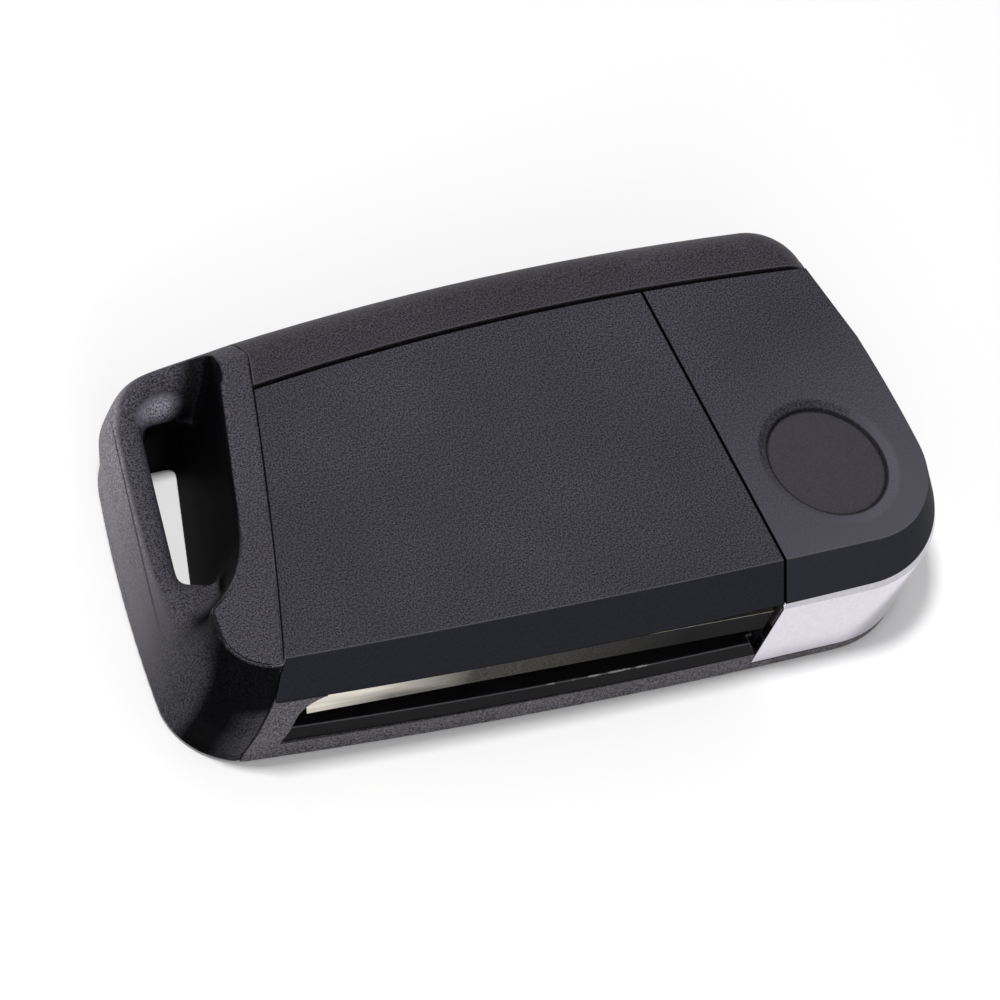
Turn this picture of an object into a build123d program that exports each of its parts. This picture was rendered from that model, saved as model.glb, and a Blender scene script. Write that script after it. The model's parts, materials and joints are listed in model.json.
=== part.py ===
from build123d import *
import os
from math import atan, cos, degrees, radians, sin, sqrt

# Folding remote car key, closed, in millimetres.
# X runs from the key-ring end to the flip end, Y from the blade side to the far side,
# Z up from the button face, with the origin under the middle of the closed key.

# Closed key
key_length = 77.4
key_width = 39.8
key_thickness = 13.5

# Bow of each side: where it stands furthest out, and its radius
near_crown_x = 20.55
near_bow = 654.0
upper_crown_x = 12.0
upper_bow = 700.0
top_edge_bow = 1255.0
far_crown_x = 12.55
far_bow = 300.0
flip_crown_y = -3.7
flip_bow = 125.0
ring_bow = 138.0
ring_end_lean = 6.3
ring_upper_lean = 4.7
ring_top_lean = 8.0
ring_corner_overhang = 0.44

# Rounding of the four corners in plan
flip_near_corner = 11.8
flip_far_corner = 5.8
ring_far_corner = 8.0
ring_upper_corner = 4.4
ring_near_corner = 6.4

# Edge forms: walls that step in a little as they rise, the flat bevel, the round far edge, the soft cap
flare_height = 1.5
upper_inset = 0.2
bevel_inset = 2.85
bevel_end_inset = 2.0
bevel_height = 3.2
far_edge_radius = 4.6
cap_ring_inset = 1.2
cap_softness = 0.8
cap_steps = 8
foot_chamfer = 0.35

# Gaps and clearances
seam_gap = 0.16
groove_width = 0.5
stack_gap = 0.1
slip_gap = 0.15
sliding_gap = 0.2
press_gap = 0.02
journal_gap = 0.05
well_gap = 0.15
rib_clearance = 0.15
board_side_gap = 0.25
sweep_gap = 0.3

# Walls
shell_wall = 1.4
front_floor = 1.2
cover_skin = 1.5
band_wall = 1.6
rail_skin = 1.4
web_thickness = 1.2
ledge_thickness = 0.9
ledge_reach = 1.3
frame_wall = 1.0
deck_thickness = 0.9
bearing_wall = 2.0
frame_far_height = 9.2

# Heights on the blade side and round the back
lip_height = 2.65
lip_bevel_height = 1.05
lip_bevel_inset = 0.62
parting_height = 5.2

# Blade slot in the near wall, and the inner wall of the bay behind the folded blade
slot_past_tip = 0.75
slot_end_radius = 3.0
bay_past_tip = 0.45
bay_corner = 3.0
bay_back_wall = 1.2

# Seams on the top face: the ring seam by its distance from the ring end, the flip seam from the pivot
groove_from_far_side = 6.77
ring_seam_far = (16.5, 14.5)
ring_seam_upper = (14.65, 8.8)
ring_seam_lower = (10.25, -4.0)
ring_seam_near = (4.9, -18.0)
flip_seam_near = 9.4
flip_seam_far = 9.05

# Flip head and blade; the folded blade lies at a small angle to the key
head_set_back = 0.05
head_face_from_pivot = 9.35
head_gap = 0.1
trim_thickness = 0.9
trim_bevel = 0.45
trim_past_pivot = 5.0
blade_angle = 2.1
tip_from_ring_end = 8.7
blade_width = 8.0
blade_thickness = 2.6
blade_bottom = 6.2
blade_edge_step = 0.19
blade_tip_slope = 3.0
blade_tip_corner = 0.8
blade_tip_undercut = 1.0
tang_length = 6.8
tang_width = 5.0
tang_step = 1.1
track_width = 2.4
track_depth = 0.7
track_wave = 0.9
track_wave_length = 20.0
track_start = 3.0
pin_radius = 0.75
pin_chamfer = 0.15
journal_radius = 3.2

# Release button and its spring
release_radius = 5.0
release_recess = 0.25
release_travel = 1.5
release_wall = 1.1
release_height = 4.8
release_floor = 1.3
release_chamfer = 0.3
lug_reach = 6.4
lug_width = 2.8
lug_height = 1.2
lug_notch_depth = 0.6
bore_radius = 5.4
bore_roof = 8.6
washer_thickness = 0.3
washer_hole_radius = 1.25
spring_radius = 3.0
spring_wire = 0.3
spring_pitch = 1.25

# Key-ring opening and the scoop round it, by their distance from the ring end
slot_far_y = 12.35
slot_far_left = 7.1
slot_bar_lean = 0.22
slot_near_y = -3.6
slot_near_slant = 0.8
slot_near_corner = 1.1
plateau_far = (13.6, 15.5)
plateau_bend = (7.55, -2.6)
plateau_cusp = (1.8, -9.5)
bar_far_height = 9.4
bar_near_height = 8.4
scoop_lip = 0.5
scoop_near_reach = 9.5
scoop_near_rise = 0.75
lip_drop = 2.2
lip_reach = 3.0
lip_rise = 1.9
lip_low_slope = 2.5
lip_high_slope = 0.45
scoop_rim_height = 12.4
scoop_rim_behind = 5.2
scoop_rise = 0.9
scoop_rim_rise = 0.35
tongue_half_width = 3.2
tongue_length = 9.0
tongue_y = 1.2
tongue_end = 19.25
tongue_thickness = 1.6
cap_screw_place = 16.05

# Electronics and battery
button_pitch_share = 0.1357
button_spacing = 1.5
button_size_y = 15.0
button_corner = 2.2
button_row_x = -5.25
button_row_y = 3.0
button_recess = 0.25
button_edge = 0.3
button_flange = 0.5
flange_thickness = 0.35
button_travel = 0.4
membrane_thickness = 0.6
membrane_rim = 0.5
board_thickness = 0.8
board_height = 4.2
switch_size = 4.5
switch_height = 1.1
plunger_radius = 1.1
controller_place = (-8.0, 2.0)
controller_size = (6.0, 6.0, 0.9)
radio_place = (2.0, 4.5)
radio_size = (4.0, 4.0, 0.8)
crystal_place = (2.0, -2.5)
crystal_size = (3.2, 2.5, 0.7)
small_part_size = (1.6, 0.8, 0.5)
small_part_row = (-2.0, 9.5)
small_part_pitch = (2.6, 3.0)
small_part_places = ((-16.0, 3.0), (-16.0, 5.4), (8.0, 0.0), (8.0, 2.4))
coil_from_pivot = (-4.9, 16.9)
coil_length = 10.0
ferrite_length = 13.0
ferrite_width = 2.4
ferrite_height = 0.9
winding_width = 3.6
winding_height = 1.7
winding_corner = 0.6
cell_radius = 10.0
cell_thickness = 3.2
cell_x = -4.45
cell_wall = 0.8
can_step = 0.3
can_step_radius = 8.8
contact_thickness = 0.3
contact_width = 4.0
contact_length = 11.0
tray_floor_bottom = 6.9
tray_floor_top = 7.6

# Screws with their bosses and posts, pegs with their towers, and the ribs over the cell
screw_radius = 0.8
screw_head_radius = 1.4
screw_head_height = 0.8
screw_slot_width = 0.35
screw_slot_length = 1.6
case_screw_length = 4.5
board_screw_length = 3.2
cap_screw_length = 2.2
pilot_radius = 0.65
boss_radius = 1.5
post_radius = 1.1
ring_screw_place = (20.25, 6.5)
far_screw_place = (-18.4, 5.7)
inner_screw_place = (-15.2, 2.1)
ring_post_place = (14.45, 1.7)
flip_post_place = (4.6, 11.7)
far_post_place = (-7.45, 5.5)
peg_radius = 0.9
peg_length = 2.6
tower_radius = 1.9
ring_peg_places = ((18.75, -5.2), (18.25, 7.6))
pivot_peg_places = ((-15.9, 8.6), (-16.5, 17.1))
corner_peg_offsets = ((-5.9, 15.7), (4.1, 17.1), (6.6, 6.6))
rib_width = 0.9
rib_ring_radius = 5.0
rib_length = 16.0

# Round recess in the corner cover
recess_radius = 5.75
recess_depth = 0.45
recess_rim = 1.0
recess_rim_drop = 0.22

half_length = key_length / 2
half_width = key_width / 2
band_height = key_thickness - bevel_height
cover_floor = key_thickness - cover_skin
pivot_x = half_length - flip_near_corner
pivot_y = -half_width + flip_near_corner
ring_end_x = -half_length
head_radius = flip_near_corner - head_set_back
head_face_x = pivot_x - head_face_from_pivot
head_bottom = front_floor + head_gap
head_top = band_height - slip_gap
lip_end_x = head_face_x - sweep_gap / 2
head_bay_radius = head_radius + sweep_gap
head_bay_far_y = pivot_y + head_bay_radius + slip_gap
bay_back_y = pivot_y - bay_back_wall
button_pitch = button_pitch_share * key_length
button_size_x = button_pitch - button_spacing
button_places = [(button_row_x + step * button_pitch, button_row_y) for step in (-1, 0, 1)]
reach = 2 * key_length

# Folded blade in its own frame, which turns with it about the pivot line
blade_along = (cos(radians(blade_angle)), -sin(radians(blade_angle)), 0)
blade_across = (-blade_along[1], blade_along[0], 0)
blade_near = blade_edge_step - head_radius
blade_far = blade_near + blade_width
tip_x = ring_end_x + tip_from_ring_end
tip_out = (pivot_x - tip_x + blade_near * sin(radians(blade_angle))) / cos(radians(blade_angle))
slot_end_x = tip_x - slot_past_tip
bay_end_x = tip_x - bay_past_tip

# Screws, posts and pegs stand by the ring end, by the pivot or by the far side
cell_y = bay_back_y + cell_wall + well_gap + cell_radius
coil_x = pivot_x + coil_from_pivot[0]
coil_y = pivot_y + coil_from_pivot[1]
cap_screw_x = ring_end_x + cap_screw_place
tongue_end_x = ring_end_x + tongue_end
case_screw_places = (
    (ring_end_x + ring_screw_place[0], half_width - ring_screw_place[1]),
    (pivot_x + far_screw_place[0], half_width - far_screw_place[1]),
    (pivot_x + inner_screw_place[0], pivot_y + inner_screw_place[1]),
)
post_places = (
    (ring_end_x + ring_post_place[0], pivot_y + ring_post_place[1]),
    (pivot_x + flip_post_place[0], half_width - flip_post_place[1]),
    (far_post_place[0], half_width - far_post_place[1]),
)
cover_peg_places = [(ring_end_x + x, y) for x, y in ring_peg_places]
cover_peg_places += [(pivot_x + x, pivot_y + y) for x, y in pivot_peg_places]
corner_peg_places = [(pivot_x + x, pivot_y + y) for x, y in corner_peg_offsets]

# Near side and ring end of each plan: crown, bow, lean of the ring end, corner at its far side
foot_form = (near_crown_x, near_bow, ring_end_lean, ring_far_corner)
upper_form = (upper_crown_x, upper_bow, ring_upper_lean, ring_upper_corner)
top_form = (near_crown_x, top_edge_bow, ring_top_lean, ring_upper_corner)


def fall(along, crown, bow):
    """How far a bowed side has fallen back from its crown."""
    return bow - sqrt(bow ** 2 - (along - crown) ** 2)


def key_plan(inset=0.0, flip_inset=None, far_inset=None, ring_inset=None, form=foot_form):
    """Plan of the closed key, drawn in from the outer walls by the insets."""
    near_crown, near_radius, end_lean, far_corner = form
    flip_inset = inset if flip_inset is None else flip_inset
    far_inset = inset if far_inset is None else far_inset
    ring_inset = inset if ring_inset is None else ring_inset

    def near_y(x):
        return fall(x, near_crown, near_radius) - half_width + inset

    def far_y(x):
        return half_width - far_inset - fall(x, far_crown_x, far_bow)

    def flip_x(y):
        return half_length - flip_inset - fall(y, flip_crown_y, flip_bow)

    ring_near_x = ring_end_x + ring_inset - ring_corner_overhang
    ring_far_x = ring_near_x + end_lean
    near_left = (ring_near_x, near_y(ring_near_x))
    near_right = (flip_x(near_y(half_length)), near_y(flip_x(near_y(half_length))))
    far_right = (flip_x(far_y(half_length)), far_y(flip_x(far_y(half_length))))
    far_left = (ring_far_x, far_y(ring_far_x))
    corners = (
        (near_left, ring_near_corner - inset),
        (near_right, flip_near_corner - inset),
        (far_right, flip_far_corner - far_inset),
        (far_left, far_corner - inset),
    )
    with BuildSketch() as plan:
        with BuildLine():
            RadiusArc(near_left, near_right, -near_radius)
            RadiusArc(near_right, far_right, -flip_bow)
            RadiusArc(far_right, far_left, -far_bow)
            RadiusArc(far_left, near_left, -ring_bow)
        make_face()
        for corner, radius in corners:
            fillet(plan.vertices().sort_by_distance(corner)[0], radius)
    return plan.sketch


def between(low, high, share):
    """Value that lies at a share of the way from the low one to the high one."""
    return low + (high - low) * share


def bevel_plan(height, wall=0.0):
    """Plan at a height on the flat bevel of the covers, drawn in by a wall."""
    share = (height - band_height) / bevel_height
    form = [between(low, high, share) for low, high in zip(upper_form, top_form)]
    side = between(upper_inset, bevel_inset, share) + wall
    end = between(upper_inset, bevel_end_inset, share) + wall
    return key_plan(side, end, form=form)


def cap_plan(height):
    """Plan at a height on the ring cap, where the bevel is soft and the far edge is round."""
    over = height - band_height
    rise = (over + sqrt(over ** 2 + cap_softness ** 2)) / 2
    full_rise = (bevel_height + sqrt(bevel_height ** 2 + cap_softness ** 2)) / 2
    share = rise / full_rise
    form = [between(low, high, share) for low, high in zip(upper_form, top_form)]
    side = between(upper_inset, bevel_inset, share)
    ring = between(upper_inset, cap_ring_inset, share)
    above_edge = max(height - key_thickness + far_edge_radius, 0)
    far = upper_inset + far_edge_radius - sqrt(far_edge_radius ** 2 - above_edge ** 2)
    return key_plan(side, side, far, ring, form)


def ring_side(shift):
    """Everything on the ring side of the cap seam, moved along X by the shift."""
    def placed(point):
        return (ring_end_x + point[0] + shift, point[1])

    near_end = placed(ring_seam_near)
    far_end = placed(ring_seam_far)
    with BuildSketch() as region:
        with BuildLine():
            Polyline(near_end, (near_end[0], -reach), (-reach, -reach), (-reach, reach),
                     (far_end[0], reach), far_end)
            Spline(far_end, placed(ring_seam_upper), placed(ring_seam_lower), near_end)
        make_face()
    return region.sketch


def flip_side(shift):
    """Everything on the flip side of the straight seam, moved along X by the shift."""
    seam_run = half_width - groove_from_far_side + half_width
    lean = (flip_seam_near - flip_seam_far) / seam_run
    near_x = pivot_x - flip_seam_near + shift
    low_x = near_x - lean * (reach - half_width)
    high_x = near_x + lean * (reach + half_width)
    with BuildSketch() as region:
        with BuildLine():
            Polyline((low_x, -reach), (reach, -reach), (reach, reach), (high_x, reach), close=True)
        make_face()
    return region.sketch


def far_side(shift):
    """Everything beyond the long groove, moved along Y by the shift."""
    crown_y = half_width - groove_from_far_side + shift
    groove_bow = far_bow - groove_from_far_side
    left_y = crown_y - fall(-key_length, far_crown_x, groove_bow)
    right_y = crown_y - fall(key_length, far_crown_x, groove_bow)
    with BuildSketch() as region:
        with BuildLine():
            ThreePointArc((-key_length, left_y), (far_crown_x, crown_y), (key_length, right_y))
            Polyline((key_length, right_y), (key_length, reach), (-key_length, reach), (-key_length, left_y))
        make_face()
    return region.sketch


wall_plan = key_plan()
upper_plan = key_plan(upper_inset, form=upper_form)
inner_plan = key_plan(shell_wall)
frame_plan = key_plan(shell_wall + slip_gap)
well_plan = key_plan(shell_wall + slip_gap + frame_wall)
deck_plan = key_plan(bevel_inset - head_gap)

with BuildSketch() as cover_area:
    Rectangle(reach, reach)
    add(ring_side(seam_gap / 2), mode=Mode.SUBTRACT)
    add(far_side(-groove_width / 2), mode=Mode.SUBTRACT)
    add(flip_side(-seam_gap / 2), mode=Mode.SUBTRACT)

with BuildSketch() as corner_area:
    add(flip_side(seam_gap / 2))
    add(far_side(-groove_width / 2), mode=Mode.SUBTRACT)

with BuildSketch() as rail_area:
    add(far_side(groove_width / 2))
    add(ring_side(seam_gap / 2), mode=Mode.SUBTRACT)

# Outer form of the lower shell: upright at its foot, then a little steeper up to the parting line
with BuildPart() as wall_form:
    with BuildSketch():
        add(wall_plan)
    extrude(amount=flare_height)
    chamfer(wall_form.faces().sort_by(Axis.Z)[0].edges(), foot_chamfer)
    with BuildSketch(Plane.XY.offset(flare_height)):
        add(wall_plan)
    with BuildSketch(Plane.XY.offset(parting_height)):
        add(upper_plan)
    loft(ruled=True)

# Outer form with the flat bevel
with BuildPart() as bevel_form:
    with BuildSketch(Plane.XY.offset(band_height)):
        add(bevel_plan(band_height))
    with BuildSketch(Plane.XY.offset(key_thickness)):
        add(bevel_plan(key_thickness))
    loft(ruled=True)

# Outer form with the round far edge
with BuildPart() as round_form:
    with BuildSketch():
        add(upper_plan)
    extrude(amount=key_thickness)
    fillet(round_form.faces().sort_by(Axis.Z)[-1].edges(), far_edge_radius)

# Space under the covers, behind the bevel
with BuildPart() as cover_cavity:
    with BuildSketch(Plane.XY.offset(band_height)):
        add(bevel_plan(band_height, band_wall))
    with BuildSketch(Plane.XY.offset(cover_floor)):
        add(bevel_plan(cover_floor, band_wall))
    loft(ruled=True)

# Button-side shell: floor, low lip along the blade slot, far and end walls up to the parting line
with BuildPart() as front_housing:
    add(wall_form.part)
    with BuildSketch(Plane.XY.offset(parting_height)):
        add(upper_plan)
    extrude(amount=head_top - parting_height)
    with BuildSketch(Plane.XY.offset(front_floor)):
        add(inner_plan)
    extrude(amount=key_thickness, mode=Mode.SUBTRACT)
    # The ring end is a piece of its own
    with BuildSketch():
        add(ring_side(seam_gap / 2))
    extrude(amount=key_thickness, mode=Mode.SUBTRACT)
    # Far side and flip end stop at the parting line
    with BuildSketch(Plane.XY.offset(parting_height)):
        with Locations((0, bay_back_y)):
            Rectangle(reach, reach, align=(Align.CENTER, Align.MIN))
    extrude(amount=key_thickness, mode=Mode.SUBTRACT)
    # Blade slot in the near wall, rounded at its ring end
    with BuildSketch(Plane.XZ.offset(half_width / 2)) as slot_side:
        with Locations((slot_end_x, lip_height)):
            Rectangle(reach, band_height - lip_height, align=(Align.MIN, Align.MIN))
        upper_end = slot_side.vertices().sort_by_distance((slot_end_x, band_height))[0]
        fillet(upper_end, slot_end_radius)
    extrude(amount=half_width, mode=Mode.SUBTRACT)
    # Room for the head to swing out at the near corner and the flip end
    with BuildSketch(Plane.XY.offset(front_floor)):
        with Locations((lip_end_x, head_bay_far_y)):
            Rectangle(reach, reach, align=(Align.MIN, Align.MAX))
    extrude(amount=key_thickness, mode=Mode.SUBTRACT)
    # Screw bosses and board posts
    with BuildSketch(Plane.XY.offset(front_floor)):
        with Locations(*case_screw_places):
            Circle(boss_radius)
    extrude(amount=tray_floor_bottom - front_floor)
    with BuildSketch(Plane.XY.offset(front_floor)):
        with Locations(*post_places):
            Circle(post_radius)
    extrude(amount=board_height - front_floor)
    with BuildSketch(Plane.XY.offset(front_floor)):
        with Locations(*case_screw_places, *post_places):
            Circle(pilot_radius)
    extrude(amount=tray_floor_bottom, mode=Mode.SUBTRACT)
    # Openings for the three buttons and the round release button
    with BuildSketch():
        with Locations(*button_places):
            RectangleRounded(button_size_x, button_size_y, button_corner)
        with Locations((pivot_x, pivot_y)):
            Circle(release_radius + sliding_gap)
    extrude(amount=front_floor, mode=Mode.SUBTRACT)
    # Two notches that hold the lugs of the release button
    with BuildSketch(Plane.XY.offset(front_floor)):
        with Locations((pivot_x, pivot_y)):
            Rectangle(2 * (lug_reach + sliding_gap), lug_width + 2 * sliding_gap)
    extrude(amount=-lug_notch_depth, mode=Mode.SUBTRACT)

# Far rail: outer shell of the back, with its own end wall beside the flip head
with BuildPart() as rail_core:
    with BuildSketch():
        add(inner_plan)
    extrude(amount=key_thickness - rail_skin)
    fillet(rail_core.faces().sort_by(Axis.Z)[-1].edges(), far_edge_radius - rail_skin)

with BuildSketch() as end_wall_area:
    with Locations((head_face_x, head_bay_far_y)):
        Rectangle(reach, reach, align=(Align.MIN, Align.MIN))
    add(far_side(groove_width / 2), mode=Mode.SUBTRACT)
    add(inner_plan, mode=Mode.SUBTRACT)

with BuildPart() as rear_housing:
    with BuildSketch():
        add(rail_area.sketch)
    extrude(amount=key_thickness)
    add(round_form.part, mode=Mode.INTERSECT)
    add(rail_core.part, mode=Mode.SUBTRACT)
    # Web beside the groove and the ledge under the cover's far edge
    with BuildSketch(Plane.XY.offset(cover_floor - stack_gap - ledge_thickness)):
        add(rail_area.sketch)
        add(far_side(groove_width / 2 + web_thickness), mode=Mode.SUBTRACT)
        add(key_plan(shell_wall), mode=Mode.INTERSECT)
    extrude(amount=ledge_thickness + stack_gap + press_gap)
    with BuildSketch(Plane.XY.offset(cover_floor - stack_gap - ledge_thickness)):
        add(far_side(-ledge_reach))
        add(far_side(groove_width / 2 + web_thickness), mode=Mode.SUBTRACT)
        add(ring_side(seam_gap / 2), mode=Mode.SUBTRACT)
        add(key_plan(bevel_inset + band_wall), mode=Mode.INTERSECT)
    extrude(amount=ledge_thickness)
    # End wall beside the flip head, up to the corner cover
    with BuildSketch():
        add(upper_plan)
        add(end_wall_area.sketch, mode=Mode.INTERSECT)
    extrude(amount=band_height - slip_gap)
    # All of it stands above the parting line
    with BuildSketch():
        Rectangle(reach, reach)
    extrude(amount=parting_height + stack_gap / 2, mode=Mode.SUBTRACT)

# Inner frame: blade bay, battery tray, electronics room and the deck over the flip head
bay_floor_top = lip_height + lip_bevel_height
sill_taper = degrees(atan(lip_bevel_inset / lip_bevel_height))
cell_bottom = tray_floor_top + contact_thickness
cell_top = cell_bottom + cell_thickness
tongue_bottom = tray_floor_top + stack_gap
frame_end = ring_side(seam_gap / 2 + slip_gap)

with BuildSketch() as bay_area:
    with Locations((bay_end_x, bay_back_y)):
        Rectangle(reach, reach, align=(Align.MIN, Align.MAX))
    chamfer(bay_area.vertices().sort_by_distance((bay_end_x, bay_back_y))[0], bay_corner)

with BuildSketch() as head_bay_area:
    with Locations((pivot_x, pivot_y)):
        Circle(head_bay_radius)
    with Locations((lip_end_x, pivot_y)):
        Rectangle(reach, reach, align=(Align.MIN, Align.MAX))
    with Locations((pivot_x, head_bay_far_y)):
        Rectangle(reach, reach, align=(Align.MIN, Align.MAX))

with BuildSketch() as room_area:
    add(well_plan)
    add(ring_side(seam_gap / 2 + slip_gap + frame_wall), mode=Mode.SUBTRACT)
    with Locations((0, bay_back_y + frame_wall)):
        Rectangle(2 * reach, reach, align=(Align.CENTER, Align.MIN), mode=Mode.INTERSECT)
    with Locations((pivot_x, pivot_y)):
        Circle(head_bay_radius + frame_wall, mode=Mode.SUBTRACT)
    with Locations((pivot_x, head_bay_far_y + frame_wall)):
        Rectangle(reach, reach, align=(Align.MIN, Align.MAX), mode=Mode.SUBTRACT)

with BuildPart() as chassis:
    with BuildSketch(Plane.XY.offset(lip_height)):
        add(frame_plan)
        add(frame_end, mode=Mode.SUBTRACT)
    extrude(amount=band_height - lip_height)
    # Bevelled sill of the blade bay, lying on the lip of the front shell
    with BuildSketch(Plane.XY.offset(lip_height)):
        add(key_plan(stack_gap))
        add(frame_end, mode=Mode.SUBTRACT)
        with Locations((slot_end_x + slip_gap, bay_back_y)):
            Rectangle(lip_end_x - slot_end_x - slip_gap, reach, align=(Align.MIN, Align.MAX),
                      mode=Mode.INTERSECT)
    extrude(amount=lip_bevel_height, taper=sill_taper)
    # The far wall stays below the round edge of the rail
    with BuildSketch(Plane.XY.offset(frame_far_height)):
        add(far_side(-ledge_reach - slip_gap))
    extrude(amount=key_thickness, mode=Mode.SUBTRACT)
    # Open bay for the folded blade and round room for the head
    with BuildSketch(Plane.XY.offset(bay_floor_top)):
        add(bay_area.sketch)
    extrude(amount=band_height - bay_floor_top, mode=Mode.SUBTRACT)
    with BuildSketch():
        add(head_bay_area.sketch)
    extrude(amount=band_height, mode=Mode.SUBTRACT)
    # Deck under the covers
    with BuildSketch(Plane.XY.offset(band_height)):
        add(deck_plan)
        add(frame_end, mode=Mode.SUBTRACT)
        add(far_side(-ledge_reach - slip_gap), mode=Mode.SUBTRACT)
    extrude(amount=deck_thickness)
    # Electronics room below the tray, battery room above it
    with BuildSketch():
        add(room_area.sketch)
    extrude(amount=tray_floor_bottom, mode=Mode.SUBTRACT)
    with BuildSketch(Plane.XY.offset(tray_floor_top)):
        add(room_area.sketch)
        with Locations((cell_x, cell_y)):
            Circle(cell_radius + well_gap + frame_wall, mode=Mode.SUBTRACT)
    extrude(amount=key_thickness, mode=Mode.SUBTRACT)
    with BuildSketch(Plane.XY.offset(tray_floor_top)):
        with Locations((cell_x, cell_y)):
            Circle(cell_radius + well_gap)
    extrude(amount=key_thickness, mode=Mode.SUBTRACT)
    # Towers that take the pegs of the battery cover
    with BuildSketch(Plane.XY.offset(tray_floor_top)):
        with Locations(*cover_peg_places):
            Circle(tower_radius)
    extrude(amount=cover_floor - stack_gap - tray_floor_top)
    with BuildSketch(Plane.XY.offset(tray_floor_top)):
        with Locations(*cover_peg_places, *corner_peg_places):
            Circle(peg_radius + journal_gap)
    extrude(amount=key_thickness, mode=Mode.SUBTRACT)
    # Bearing for the head's journal
    with BuildSketch(Plane.XY.offset(band_height)):
        with Locations((pivot_x, pivot_y)):
            Circle(journal_radius + bearing_wall)
    extrude(amount=cover_floor - stack_gap - band_height - recess_depth)
    with BuildSketch(Plane.XY.offset(band_height)):
        with Locations((pivot_x, pivot_y)):
            Circle(journal_radius + journal_gap)
    extrude(amount=key_thickness, mode=Mode.SUBTRACT)
    # Screw holes and the gap for the ring cap's tongue
    with BuildSketch(Plane.XY.offset(tray_floor_bottom)):
        with Locations(*case_screw_places):
            Circle(screw_radius + journal_gap)
        with Locations((cap_screw_x, tongue_y)):
            Circle(pilot_radius)
    extrude(amount=tray_floor_top - tray_floor_bottom, mode=Mode.SUBTRACT)
    with BuildSketch(Plane.XY.offset(tray_floor_top)):
        with Locations((tongue_end_x, tongue_y)):
            Rectangle(reach, 2 * (tongue_half_width + slip_gap), align=(Align.MAX, Align.CENTER))
    extrude(amount=tongue_thickness + 2 * slip_gap, mode=Mode.SUBTRACT)

# Battery cover: thin panel with the flat bevel along the blade side, and four pegs
with BuildPart() as battery_cover:
    with BuildSketch(Plane.XY.offset(band_height)):
        add(cover_area.sketch)
    extrude(amount=bevel_height)
    add(bevel_form.part, mode=Mode.INTERSECT)
    add(cover_cavity.part, mode=Mode.SUBTRACT)
    with BuildSketch(Plane.XY.offset(cover_floor - peg_length)):
        with Locations(*cover_peg_places):
            Circle(peg_radius)
    extrude(amount=peg_length + press_gap)
    # Ring rib and cross ribs that hold the coin cell down
    with BuildSketch(Plane.XY.offset(cell_top + rib_clearance)):
        with Locations((cell_x, cell_y)):
            Circle(rib_ring_radius)
            Circle(rib_ring_radius - rib_width, mode=Mode.SUBTRACT)
            Rectangle(rib_length, rib_width)
            Rectangle(rib_width, rib_length)
    extrude(amount=cover_floor - cell_top - rib_clearance + press_gap)

# Corner cover over the flip head, with a bare round recess above the pivot
recess_plane = Plane(origin=(pivot_x, pivot_y, 0), x_dir=(1, 0, 0), z_dir=(0, -1, 0))
recess_floor = key_thickness - recess_depth
recess_rim_height = key_thickness - recess_rim_drop
pivot_line = Axis((pivot_x, pivot_y, 0), (0, 0, 1))

with BuildPart() as corner_cover:
    with BuildSketch(Plane.XY.offset(band_height)):
        add(corner_area.sketch)
    extrude(amount=bevel_height)
    add(bevel_form.part, mode=Mode.INTERSECT)
    add(cover_cavity.part, mode=Mode.SUBTRACT)
    with BuildSketch(recess_plane):
        with BuildLine():
            Polyline((0, key_thickness), (0, recess_floor), (recess_radius, recess_floor),
                     (recess_radius, recess_rim_height), (recess_radius + recess_rim, key_thickness),
                     close=True)
        make_face()
    revolve(axis=pivot_line, mode=Mode.SUBTRACT)
    with BuildSketch(Plane.XY.offset(band_height + slip_gap)):
        with Locations(*corner_peg_places):
            Circle(peg_radius)
    extrude(amount=cover_floor - band_height - slip_gap + press_gap)

# Ring cap: soft bevel towards the blade side, round far edge, scoop and key-ring opening
slot_far_x = ring_end_x + slot_far_left
slot_near_x = slot_far_x - slot_bar_lean * (slot_far_y - slot_near_y)
plateau_lean = (plateau_bend[0] - plateau_far[0]) / (plateau_bend[1] - plateau_far[1])
slot_bend_y = slot_near_y - slot_near_slant
slot_bend_x = ring_end_x + plateau_far[0] + (slot_bend_y - plateau_far[1]) * plateau_lean
slot_top_x = ring_end_x + plateau_far[0] + (slot_far_y - plateau_far[1]) * plateau_lean
cap_heights = [between(parting_height, key_thickness, step / cap_steps) for step in range(cap_steps + 1)]

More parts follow.
